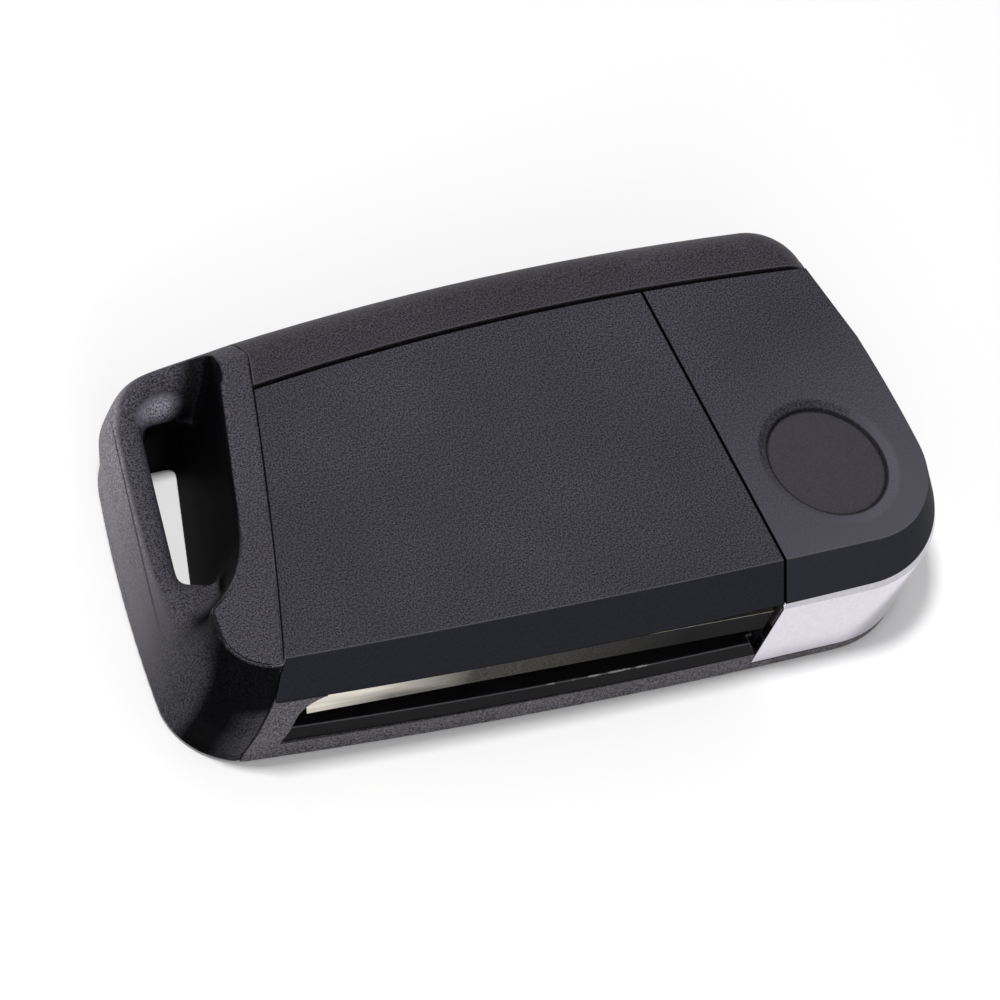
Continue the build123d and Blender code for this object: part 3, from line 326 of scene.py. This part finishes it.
def cap_valley_shade(tree):
    """Painted shade in the valley where the scoop's far ramp meets the wall of the raised part."""
    beside = across(tree, SQUARE_TO_RIM, -32.2, -30.4)
    lower = along(tree, PLACE, Z, 12.9, 12.2)
    inside = times(tree, along(tree, PLACE, Y, 9.0, 11.5), along(tree, NORMAL, Y, 0.65, 0.45))
    return times(tree, times(tree, beside, lower), times(tree, inside, clear_of_outside(tree)))


def cap_lip_highlight(tree):
    """Painted highlight on the scoop's far lip."""
    return spread(tree, spot(tree, (-30.2, 12.9, 8.9), (3.6, 2.0, 2.4)), 0.0, 1.0, 0.1, 0.6)


def cap_line(tree):
    """Thin dark line painted along the outside of the bar."""
    down_the_wall = (-0.8656, 0.2095, -0.4547)
    line = between(tree, reach(tree, down_the_wall), 29.02, 29.02, 0.12)
    run = times(tree, along(tree, PLACE, Y, -8.0, -3.0), along(tree, PLACE, Y, 14.0, 12.0))
    return times(tree, line, times(tree, run, 0.8))


def cap_rim_highlight(tree):
    """Where the painted edge highlight goes: edges of the raised part only."""
    return times(tree, along(tree, PLACE, Z, 12.4, 13.0), along(tree, PLACE, Y, -1.0, -6.0))


def recess_ring(tree, inner, outer, soft):
    """Share that is 1 between two radii, in mm, round the middle of the corner cover's recess."""
    offset = vector_maths(tree, "SUBTRACT", surface(tree, PLACE), (pivot_x, pivot_y, 0.0))
    flat = vector_maths(tree, "MULTIPLY", offset, (1.0, 1.0, 0.0))
    return between(tree, vector_maths(tree, "LENGTH", flat), inner, outer, soft)


def recess_floor(tree):
    """Floor of the round recess."""
    return recess_ring(tree, 0.0, RECESS_RADIUS, 0.1)


def recess_foot_shade(tree):
    """Painted shade: a dark line where the recess's floor meets its wall."""
    return times(tree, recess_ring(tree, RECESS_RADIUS - 0.08, RECESS_RADIUS + 0.12, 0.16), 0.85)


def recess_shade(tree):
    """Shoulder of the recess, dark on its far and left side."""
    shoulder = recess_ring(tree, RECESS_RADIUS + 0.1, RECESS_RADIUS + 0.8, 0.25)
    return times(tree, shoulder, across(tree, (-0.5, 0.87, 0.0), -20.0, -15.0))


def recess_shine(tree):
    """Shoulder of the recess, pale on its near and right side."""
    shoulder = recess_ring(tree, RECESS_RADIUS + 0.25, RECESS_RADIUS + 1.0, 0.4)
    return times(tree, shoulder, across(tree, (0.8, -0.6, 0.0), 27.0, 32.0))


def cover_seam(tree):
    """Dark line on both sides of the seam between the battery cover and the corner cover."""
    square_to_seam = (1.0, -0.0106, 0.0)
    return between(tree, reach(tree, square_to_seam), 17.58, 17.84, 0.08)


def top_edge_highlight(tree):
    """Where the painted edge highlight goes: the edge of the top face over the near bevel, but for its seam."""
    near = times(tree, along(tree, PLACE, Z, 12.95, 13.2), along(tree, PLACE, Y, -15.0, -16.0))
    return times(tree, near, spread(tree, cover_seam(tree), 0.8, 0.0, 0.0, 0.5))


def corner_glow(tree):
    """The corner cover's near side, which takes more of the light."""
    flat = along(tree, NORMAL, Z, 0.95, 0.99)
    return times(tree, across(tree, (0.35, -0.94, 0.0), 4.0, 26.0), flat)


# Materials

def grained_plastic(name, tones, zones=(), edges=None, rough=0.55, grain=6000.0, depth=0.04 * MM, radius=0.2 * MM):
    """Moulded plastic with a spark-eroded grain and a painted pale edge highlight, everywhere or by a mask.

    The tones are the dark one, the light one and that of the painted edge highlight.
    Each zone is a mask, a shade and how much grain it keeps.
    """
    dark, light, edge_highlight_tone = tones
    made, tree, shader = material(name)
    speckle = noise(tree, grain, 2.0, 0.7)
    cloud = noise(tree, 70.0)
    soft = rounded(tree, radius)
    colour = mixed(tree, spread(tree, speckle, 0.0, 1.0, 0.4, 0.6), dark, light)
    colour = mixed(tree, spread(tree, cloud, 0.0, 0.25), colour, dark)
    height, gloss = speckle, PLASTIC_GLOSS
    for mask, shade, kept in zones:
        share = mask(tree)
        tinted = mixed(tree, spread(tree, speckle, 0.0, kept, 0.4, 0.6), shade, light)
        colour = mixed(tree, share, colour, tinted)
        height = times(tree, height, spread(tree, share, 1.0, kept, 0.0, 1.0))
        kept_gloss = kept + (1.0 - kept) * LEAST_GLOSS / PLASTIC_GLOSS
        gloss = times(tree, gloss, spread(tree, share, 1.0, kept_gloss, 0.0, 1.0))
    # Painted highlight along the edges, by the edge mask
    pale = times(tree, edge_share(tree, soft), 0.85 if edges is None else edges(tree))
    colour = mixed(tree, pale, colour, edge_highlight_tone)
    feed(tree, gloss, shader.inputs["Specular IOR Level"])
    tree.links.new(colour, shader.inputs["Base Color"])
    tree.links.new(spread(tree, cloud, rough - 0.03, rough + 0.03), shader.inputs["Roughness"])
    relief(tree, shader, height, depth, soft)
    return made


def smooth_plastic(name, colour, lighter, rough, radius=0.1 * MM):
    """Smooth plastic or rubber with a faint sheen variation."""
    made, tree, shader = material(name)
    cloud = noise(tree, 400.0, 4.0, 0.6)
    tree.links.new(mixed(tree, spread(tree, cloud, 0.0, 1.0), colour, lighter), shader.inputs["Base Color"])
    tree.links.new(spread(tree, cloud, rough - 0.05, rough + 0.08), shader.inputs["Roughness"])
    shader.inputs["Specular IOR Level"].default_value = 0.25
    relief(tree, shader, noise(tree, 9000.0), 0.004 * MM, rounded(tree, radius))
    return made


def sill_plastic():
    """Black frame plastic whose upper edges catch the light in a thin line with a few bright bits."""
    made, tree, shader = material("sill_plastic")
    soft = rounded(tree, 0.2 * MM)
    bits = noise(tree, 500.0, 2.0, 0.6, (1.0, 0.1, 0.1))
    middle = between(tree, component(tree, PLACE, X), -3.5, 5.5, 1.0)
    glints = times(tree, spread(tree, bits, 0.0, 1.0, 0.5, 0.56), middle)
    line = mixed(tree, glints, srgb(118, 116, 124), srgb(235, 233, 235))
    cloud = spread(tree, noise(tree, 400.0, 4.0), 0.0, 1.0)
    colour = mixed(tree, cloud, srgb(11, 11, 13), srgb(17, 17, 20))
    share = times(tree, edge_share(tree, soft, 0.003, 0.05), along(tree, PLACE, Z, 3.0, 3.4))
    tree.links.new(mixed(tree, share, colour, line), shader.inputs["Base Color"])
    tree.links.new(spread(tree, bits, 0.35, 0.45), shader.inputs["Roughness"])
    shader.inputs["Specular IOR Level"].default_value = PLASTIC_GLOSS
    relief(tree, shader, noise(tree, 9000.0), 0.004 * MM, soft)
    return made


def metal(name, colour, darker, rough, stretch=(1.0, 1.0, 1.0), scale=3000.0, depth=0.002 * MM):
    """Plated, drawn or brushed metal: the stretch sets the way of its lines."""
    made, tree, shader = material(name)
    lines = noise(tree, scale, 3.0, 0.6, stretch)
    shader.inputs["Metallic"].default_value = 1.0
    tree.links.new(mixed(tree, spread(tree, lines, 0.0, 1.0), colour, darker), shader.inputs["Base Color"])
    tree.links.new(spread(tree, lines, rough - 0.05, rough + 0.07), shader.inputs["Roughness"])
    relief(tree, shader, lines, depth, rounded(tree, 0.1 * MM))
    return made


def blade_look():
    """Nickel silver: bright near the tip; on the slot side, further in, dull and painted dark as shade, darkest
    deep in the slot.
    """
    made, tree, shader = material("blade_steel")
    lines = noise(tree, 2600.0, 3.0, 0.6, (0.06, 1.0, 1.0))
    speckle = noise(tree, 7000.0, 3.0, 0.7)
    side = along(tree, NORMAL, Y, -0.6, -0.9)
    # Painted shade on the slot side: darker further in and, near the tip, on the lower half; darkest deep in the
    # slot
    shaded_inward = along(tree, PLACE, X, -23.5, -13.0)
    low = along(tree, PLACE, Z, 8.3, 6.6)
    shaded_low = times(tree, low, along(tree, PLACE, X, -28.0, -21.0))
    deep_shade = times(tree, side, along(tree, PLACE, X, -9.0, 9.0))
    bright_metal = mixed(tree, spread(tree, lines, 0.0, 1.0), srgb(236, 229, 219), srgb(206, 198, 187))
    slot_shade = mixed(tree, spread(tree, speckle, 0.0, 1.0, 0.35, 0.65), srgb(42, 41, 40), srgb(88, 86, 82))
    shaded = times(tree, side, larger(tree, shaded_inward, times(tree, shaded_low, 0.85)))
    colour = mixed(tree, deep_shade, mixed(tree, shaded, bright_metal, slot_shade), srgb(16, 16, 17))
    tree.links.new(colour, shader.inputs["Base Color"])
    tree.links.new(spread(tree, shaded, 1.0, 0.0, 0.0, 0.6), shader.inputs["Metallic"])
    tree.links.new(spread(tree, shaded, 0.35, 0.7, 0.0, 1.0), shader.inputs["Roughness"])
    tree.links.new(spread(tree, shaded, 0.5, 0.08, 0.0, 1.0), shader.inputs["Specular IOR Level"])
    relief(tree, shader, speckle, 0.006 * MM, rounded(tree, 0.1 * MM))
    return made


def board_look():
    """Green solder mask over copper runs, with bare laminate between."""
    made, tree, shader = material("board_laminate")
    runs = tree.nodes.new("ShaderNodeTexVoronoi")
    runs.distance = "MANHATTAN"
    runs.feature = "F2"
    runs.inputs["Scale"].default_value = 420.0
    tree.links.new(surface(tree, PLACE), runs.inputs["Vector"])
    copper = spread(tree, runs.outputs["Distance"], 0.0, 1.0, 0.72, 0.76)
    colour = mixed(tree, copper, srgb(18, 74, 42), srgb(34, 112, 60))
    tree.links.new(colour, shader.inputs["Base Color"])
    tree.links.new(spread(tree, noise(tree, 2000.0), 0.25, 0.4), shader.inputs["Roughness"])
    relief(tree, shader, copper, 0.02 * MM)
    return made


# Tones: dark grain, light grain, and the painted edge highlight
cover_tones = (srgb(22, 21, 26), srgb(76, 74, 83), srgb(118, 116, 126))
cap_tones = (srgb(26, 25, 31), srgb(88, 85, 94), srgb(150, 148, 156))
rail_tones = (srgb(22, 20, 25), srgb(72, 68, 76), srgb(88, 86, 92))
shell_tones = (srgb(38, 36, 41), srgb(118, 115, 122), srgb(112, 108, 112))
seam_zone = (cover_seam, srgb(6, 6, 7), 0.0)
# Of these zones, the bevel band is painted shade
cover_zones = [
    (bevel_band_shade, srgb(34, 35, 40), 0.08),
    seam_zone,
]
# Corner zones: the near side's glow and the recess's shine are painted light; the recess's shade and foot and the
# bevel band are painted shade
corner_zones = [
    (corner_glow, srgb(74, 72, 81), 1.0),
    (recess_floor, srgb(58, 56, 61), 0.35),
    (recess_shade, srgb(24, 23, 27), 0.6),
    (recess_shine, srgb(84, 82, 92), 1.0),
    (recess_foot_shade, srgb(10, 10, 12), 0.2),
    (bevel_band_shade, srgb(42, 43, 48), 0.08),
    seam_zone,
]
# Ring cap zones: the wall is painted light and the lip a painted highlight; the foot, valley, slot walls and band
# are painted shade
cap_zones = [
    (cap_wall_light, srgb(150, 147, 152), 1.0),
    (cap_foot, srgb(8, 8, 9), 0.5),
    (cap_lip_highlight, srgb(176, 174, 190), 1.0),
    (cap_valley_shade, srgb(10, 10, 12), 0.1),
    (cap_slot, srgb(3, 3, 4), 0.03),
    (cap_band_shade, srgb(7, 8, 10), 0.04),
    (cap_line, srgb(8, 8, 10), 0.1),
]

cover_plastic = grained_plastic("cover_plastic", cover_tones, cover_zones, top_edge_highlight)
corner_plastic = grained_plastic("corner_plastic", cover_tones, corner_zones, top_edge_highlight)
rail_plastic = grained_plastic("rail_plastic", rail_tones, radius=0.3 * MM)
cap_plastic = grained_plastic("cap_plastic", cap_tones, cap_zones, cap_rim_highlight, radius=0.3 * MM)
shell_plastic = grained_plastic("shell_plastic", shell_tones, rough=0.58, grain=5600.0, depth=0.05 * MM,
                                radius=0.15 * MM)
head_plastic = smooth_plastic("head_plastic", srgb(24, 24, 27), srgb(32, 32, 36), 0.3)
button_rubber = smooth_plastic("button_rubber", srgb(34, 34, 37), srgb(44, 44, 48), 0.62, 0.2 * MM)
membrane_rubber = smooth_plastic("membrane_rubber", srgb(60, 62, 66), srgb(72, 74, 80), 0.6)
chip_black = smooth_plastic("chip_black", srgb(22, 22, 22), srgb(34, 34, 34), 0.45)
ferrite = smooth_plastic("ferrite", srgb(56, 56, 60), srgb(80, 80, 84), 0.7)
chrome = metal("chrome_trim", srgb(219, 216, 225), srgb(210, 206, 216), 0.16)
spring_steel = metal("spring_steel", srgb(196, 196, 200), srgb(160, 160, 166), 0.25)
screw_steel = metal("screw_steel", srgb(120, 120, 126), srgb(90, 90, 96), 0.35)
switch_metal = metal("switch_metal", srgb(204, 202, 194), srgb(176, 174, 166), 0.3)
cell_steel = metal("cell_steel", srgb(214, 214, 218), srgb(188, 188, 194), 0.25, (1.0, 0.08, 1.0))
contact_brass = metal("contact_brass", srgb(224, 196, 128), srgb(196, 164, 96), 0.28)
copper_wire = metal("copper_wire", srgb(196, 118, 74), srgb(140, 74, 42), 0.35, (1.0, 0.05, 0.05),
                    scale=9000.0, depth=0.03 * MM)

looks = {
    "front_housing": shell_plastic, "rear_housing": rail_plastic, "chassis": sill_plastic(),
    "battery_cover": cover_plastic, "corner_cover": corner_plastic, "ring_cap": cap_plastic,
    "flip_head": head_plastic, "head_trim": chrome, "key_blade": blade_look(), "release_button": chrome,
    "blade_pin": spring_steel, "spring_washer": spring_steel, "flip_spring": spring_steel,
    "unlock_button": button_rubber, "boot_button": button_rubber, "lock_button": button_rubber,
    "keypad_membrane": membrane_rubber, "circuit_board": board_look(), "unlock_switch": switch_metal,
    "boot_switch": switch_metal, "lock_switch": switch_metal, "microcontroller": chip_black,
    "radio_chip": chip_black, "quartz_crystal": switch_metal, "small_parts": chip_black, "ferrite_bar": ferrite,
    "antenna_coil": copper_wire, "coin_cell": cell_steel, "minus_contact": contact_brass,
    "plus_contact": contact_brass, "case_screws": screw_steel, "board_screws": screw_steel,
    "cap_screw": screw_steel,
}
for name, node in nodes.items():
    node.data.materials.clear()
    node.data.materials.append(looks[name])


# Mesh helpers

def wedge(name, low, high, low_z, high_z):
    """Closed block between two four-sided outlines at two heights."""
    corners = [(x, y, low_z) for x, y in low] + [(x, y, high_z) for x, y in high]
    sides = [(k, (k + 1) % 4, 4 + (k + 1) % 4, 4 + k) for k in range(4)]
    mesh = bpy.data.meshes.new(name)
    mesh.from_pydata(corners, [], [(3, 2, 1, 0), (4, 5, 6, 7)] + sides)
    made = bpy.data.objects.new(name, mesh)
    scene.collection.objects.link(made)
    return made


def cut_copy(node_name, cutter, grid=None):
    """Mesh of a node without the cutter's shape, remade as an even grid where a size is given for it."""
    block = bpy.data.objects.new(node_name + "_block", nodes[node_name].data.copy())
    scene.collection.objects.link(block)
    cut = block.modifiers.new("cut", "BOOLEAN")
    cut.operation = "DIFFERENCE"
    cut.solver = "EXACT"
    cut.object = cutter
    if grid is not None:
        remesh = block.modifiers.new("grid", "REMESH")
        remesh.mode = "VOXEL"
        remesh.voxel_size = grid
    graph = bpy.context.evaluated_depsgraph_get()
    mesh = bpy.data.meshes.new_from_object(block.evaluated_get(graph))
    for helper in (block, cutter):
        helper_mesh = helper.data
        bpy.data.objects.remove(helper)
        bpy.data.meshes.remove(helper_mesh)
    return mesh


def new_piece(name, mesh, node_name):
    """Object with this mesh and the look of the node that it stands for."""
    piece = bpy.data.objects.new(name, mesh)
    scene.collection.objects.link(piece)
    mesh.materials.clear()
    mesh.materials.append(looks[node_name])
    return piece


def mesh_arrays(mesh):
    """Points and edges of a mesh, one row each."""
    points = np.empty(len(mesh.vertices) * 3)
    mesh.vertices.foreach_get("co", points)
    edges = np.empty(len(mesh.edges) * 2, dtype=np.int64)
    mesh.edges.foreach_get("vertices", edges)
    return points.reshape(-1, 3), edges.reshape(-1, 2)


def step(value, low, high):
    """Smooth share from 0 at low to 1 at high."""
    share = np.clip((value - low) / (high - low), 0.0, 1.0)
    return share * share * (3.0 - 2.0 * share)


def distance_to_run(points, start, end):
    """Distance in plan from points to a straight run."""
    run = end - start
    share = np.clip(((points - start) @ run) / (run @ run), 0.0, 1.0)
    return np.linalg.norm(points - start - share[:, None] * run, axis=1)


def arc_points(start, end, heading, count=24):
    """Points on the arc from start to end that leaves start in a direction."""
    normal = np.array((-heading[1], heading[0]))
    chord = end - start
    radius = (chord @ chord) / (2.0 * (chord @ normal))
    centre = start + radius * normal
    first, last = start - centre, end - centre
    turn = np.arctan2(first[0] * last[1] - first[1] * last[0], first @ last)
    angles = np.linspace(0.0, turn, count)
    c, s = np.cos(angles), np.sin(angles)
    return centre + np.stack([first[0] * c - first[1] * s, first[0] * s + first[1] * c], 1)


def soften(points, edges, weight, rounds):
    """Points eased towards their neighbours, by their weight, over some rounds."""
    a, b = edges[:, 0], edges[:, 1]
    count = np.bincount(edges.ravel(), minlength=len(points))[:, None]
    for _ in range(rounds):
        total = np.stack([np.bincount(a, points[b, k], len(points)) + np.bincount(b, points[a, k], len(points))
                          for k in range(3)], 1)
        points = points + 0.5 * weight[:, None] * (total / count - points)
    return points


# Ring cap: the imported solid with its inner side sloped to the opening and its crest, lip and corner worn soft

def sloped_cap():
    """Mesh of the ring cap with its inner side sloped back from the opening, as an even grid."""
    inside, slope, small = 1.2 * MM, 1.5 * MM, 0.05 * MM

    def outline(outset):
        """Four corners in plan, from inside the opening to an outset past its inner side."""
        far_y, near_y = OPENING_FAR.y - small, OPENING_NEAR.y - small
        return [(OPENING_FAR.x + inside, far_y), (OPENING_FAR.x - outset, far_y),
                (OPENING_NEAR.x - outset, near_y), (OPENING_NEAR.x + inside, near_y)]

    cutter = wedge("cap_slope", outline(small), outline(slope), low_z=6.6 * MM, high_z=10.2 * MM)
    return cut_copy("ring_cap", cutter, grid=0.2 * MM)


def distance_to_rim(plan):
    """Distance in plan from the rim of the raised part."""
    far, bend = np.array(RIM_FAR), np.array(RIM_BEND)
    heading = (bend - far) / np.linalg.norm(bend - far)
    arc = arc_points(bend, RIM_END, heading)
    rim = distance_to_run(plan, far, bend)
    for first, second in zip(arc[:-1], arc[1:]):
        rim = np.minimum(rim, distance_to_run(plan, first, second))
    return rim


def distance_from_seam(points):
    """How far points lie from the ring cap's seam with the housing, along X."""
    seam_y, seam_x = (-18.0, -4.0, 8.8, 14.5), (-33.8, -28.45, -24.05, -22.2)
    return np.interp(points[:, Y] / MM, seam_y, seam_x) * MM - points[:, X]


def sink_valley(points):
    """Sinks a valley along the wall of the raised part, deepest at the opening."""
    deepest, narrow, widening = 2.2 * MM, 0.6 * MM, 3.2 * MM
    far, bend = np.array(RIM_FAR), np.array(RIM_BEND)
    run = (far - bend) / np.linalg.norm(far - bend)
    beside = (points[:, :2] - bend) @ np.array((-run[1], run[0]))
    depth = 1.0 - step(points[:, Y], OPENING_FAR.y, far[Y])
    past_opening = step(points[:, Y], OPENING_FAR.y - 0.3 * MM, OPENING_FAR.y)
    facing_up = step(points[:, Z], 7.5 * MM, 8.5 * MM) * past_opening
    width = narrow + widening * depth
    in_valley = np.clip(1.0 - beside / width, 0.0, 1.0) * step(beside, -0.1 * MM, 0.1 * MM)
    points[:, Z] -= deepest * depth * in_valley * facing_up


def soft_ring_cap():
    """Ring cap as a moulded piece: sloped inner side, soft crest and lip, crisp edges at the seam."""
    mesh = sloped_cap()
    points, edges = mesh_arrays(mesh)
    from_seam = distance_from_seam(points)
    off_seam = step(from_seam, 0.4 * MM, 1.8 * MM)
    high_up = step(points[:, Z], 4.0 * MM, 6.0 * MM)
    off_rim = step(distance_to_rim(points[:, :2]), 0.5 * MM, 1.6 * MM)
    clear_of_rim = np.maximum(off_rim, step(points[:, Z], 12.6 * MM, 11.6 * MM))
    below_top = np.maximum(step(points[:, Z], 13.2 * MM, 12.6 * MM), 0.15)
    off_near_side = step(points[:, Y], -14.5 * MM, -10.0 * MM)
    crest = clear_of_rim * high_up * off_seam * off_near_side * below_top
    sink_valley(points)
    from_corner = np.linalg.norm(points[:, :2] - np.array((-37.5, -8.7)) * MM, axis=1)
    corner = step(from_corner, 5.6 * MM, 2.6 * MM) * step(points[:, Z], 13.1 * MM, 12.5 * MM) * high_up
    points[:, X] += 0.08 * MM * step(from_seam, 0.6 * MM, 0.2 * MM)
    for weight, rounds in ((0.2 + 0.8 * off_seam, 9), (corner, 400), (crest, 60)):
        points = soften(points, edges, weight, rounds)
    mesh.vertices.foreach_set("co", points.ravel())
    mesh.update()
    for polygon in mesh.polygons:
        polygon.use_smooth = True
    piece = new_piece("ring_cap_moulding", mesh, "ring_cap")
    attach(piece, "housing")
    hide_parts("ring_cap")


def trimmed_corner_cover():
    """Corner cover with a sliver off its far end, where it stands past the rail's round end."""
    low = [Vector(p) * MM for p in ((37.0, 12.4), (38.3, 3.5), (40.0, 3.5), (40.0, 12.4))]
    high = [Vector(p) * MM for p in ((35.1, 12.4), (36.5, 3.5), (38.2, 3.5), (38.2, 12.4))]
    cutter = wedge("cover_slope", low, high, low_z=10.2 * MM, high_z=13.6 * MM)
    mesh = cut_copy("corner_cover", cutter)
    if mesh.has_custom_normals:
        mesh.attributes.remove(mesh.attributes["custom_normal"])
    for polygon in mesh.polygons:
        polygon.use_smooth = True
    mesh.set_sharp_from_angle(angle=0.3)
    piece = new_piece("corner_cover_moulding", mesh, "corner_cover")
    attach(piece, "housing")
    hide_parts("corner_cover")


def pressed_spring():
    """Flip spring, which sits in the head: a copy of its mesh as a piece of its own, attached to the flip body."""
    mesh = nodes["flip_spring"].data.copy()
    piece = new_piece("flip_spring_coil", mesh, "flip_spring")
    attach(piece, "flip")
    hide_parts("flip_spring")
    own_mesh(piece)


soft_ring_cap()
trimmed_corner_cover()
pressed_spring()


# Surroundings

def white_floor():
    """Floor that looks white, and that keeps the key's soft shadow close round the key."""
    mesh = bpy.data.meshes.new("floor")
    mesh.from_pydata([(-3, -3, 0), (3, -3, 0), (3, 3, 0), (-3, 3, 0)], [], [(0, 1, 2, 3)])
    floor = bpy.data.objects.new("floor", mesh)
    scene.collection.objects.link(floor)
    look, tree, shader = material("floor")
    shader.inputs["Base Color"].default_value = (0.94, 0.94, 0.94, 1.0)
    shader.inputs["Roughness"].default_value = 0.9
    shader.inputs["Specular IOR Level"].default_value = 0.1
    lift = tree.nodes.new("ShaderNodeEmission")
    lift.inputs["Color"].default_value = (0.06, 0.06, 0.06, 1.0)
    tree.links.new(seen_rays(tree), lift.inputs["Strength"])
    both = tree.nodes.new("ShaderNodeAddShader")
    tree.links.new(shader.outputs["BSDF"], both.inputs[0])
    tree.links.new(lift.outputs["Emission"], both.inputs[1])
    output = next(node for node in tree.nodes if node.type == "OUTPUT_MATERIAL")
    tree.links.new(both.outputs["Shader"], output.inputs["Surface"])
    mesh.materials.append(look)


def white_world():
    """Even light from all round, which is seen as pure white."""
    world = bpy.data.worlds.new("world")
    world.use_nodes = True
    tree = world.node_tree
    light = tree.nodes["Background"]
    light.inputs["Color"].default_value = (1.0, 1.0, 1.0, 1.0)
    light.inputs["Strength"].default_value = 0.38
    seen = tree.nodes.new("ShaderNodeBackground")
    seen.inputs["Strength"].default_value = 1.0
    choice = tree.nodes.new("ShaderNodeMixShader")
    tree.links.new(seen_rays(tree), choice.inputs[0])
    tree.links.new(light.outputs["Background"], choice.inputs[1])
    tree.links.new(seen.outputs["Background"], choice.inputs[2])
    tree.links.new(choice.outputs["Shader"], tree.nodes["World Output"].inputs["Surface"])
    scene.world = world


def softbox(name, place, size, power):
    """Square area light aimed at the key."""
    data = bpy.data.lights.new(name, "AREA")
    data.size = size
    data.energy = power
    lamp = bpy.data.objects.new(name, data)
    scene.collection.objects.link(lamp)
    lamp.location = place
    lamp.rotation_euler = (-Vector(place)).to_track_quat("-Z", "Y").to_euler()


white_floor()
white_world()
softbox("top_light", place=(-0.36, 0.08, 1.0), size=0.16, power=7.2)
softbox("near_light", place=(-0.35, -0.85, 0.45), size=0.5, power=1.7)

scene.view_settings.view_transform = "Standard"
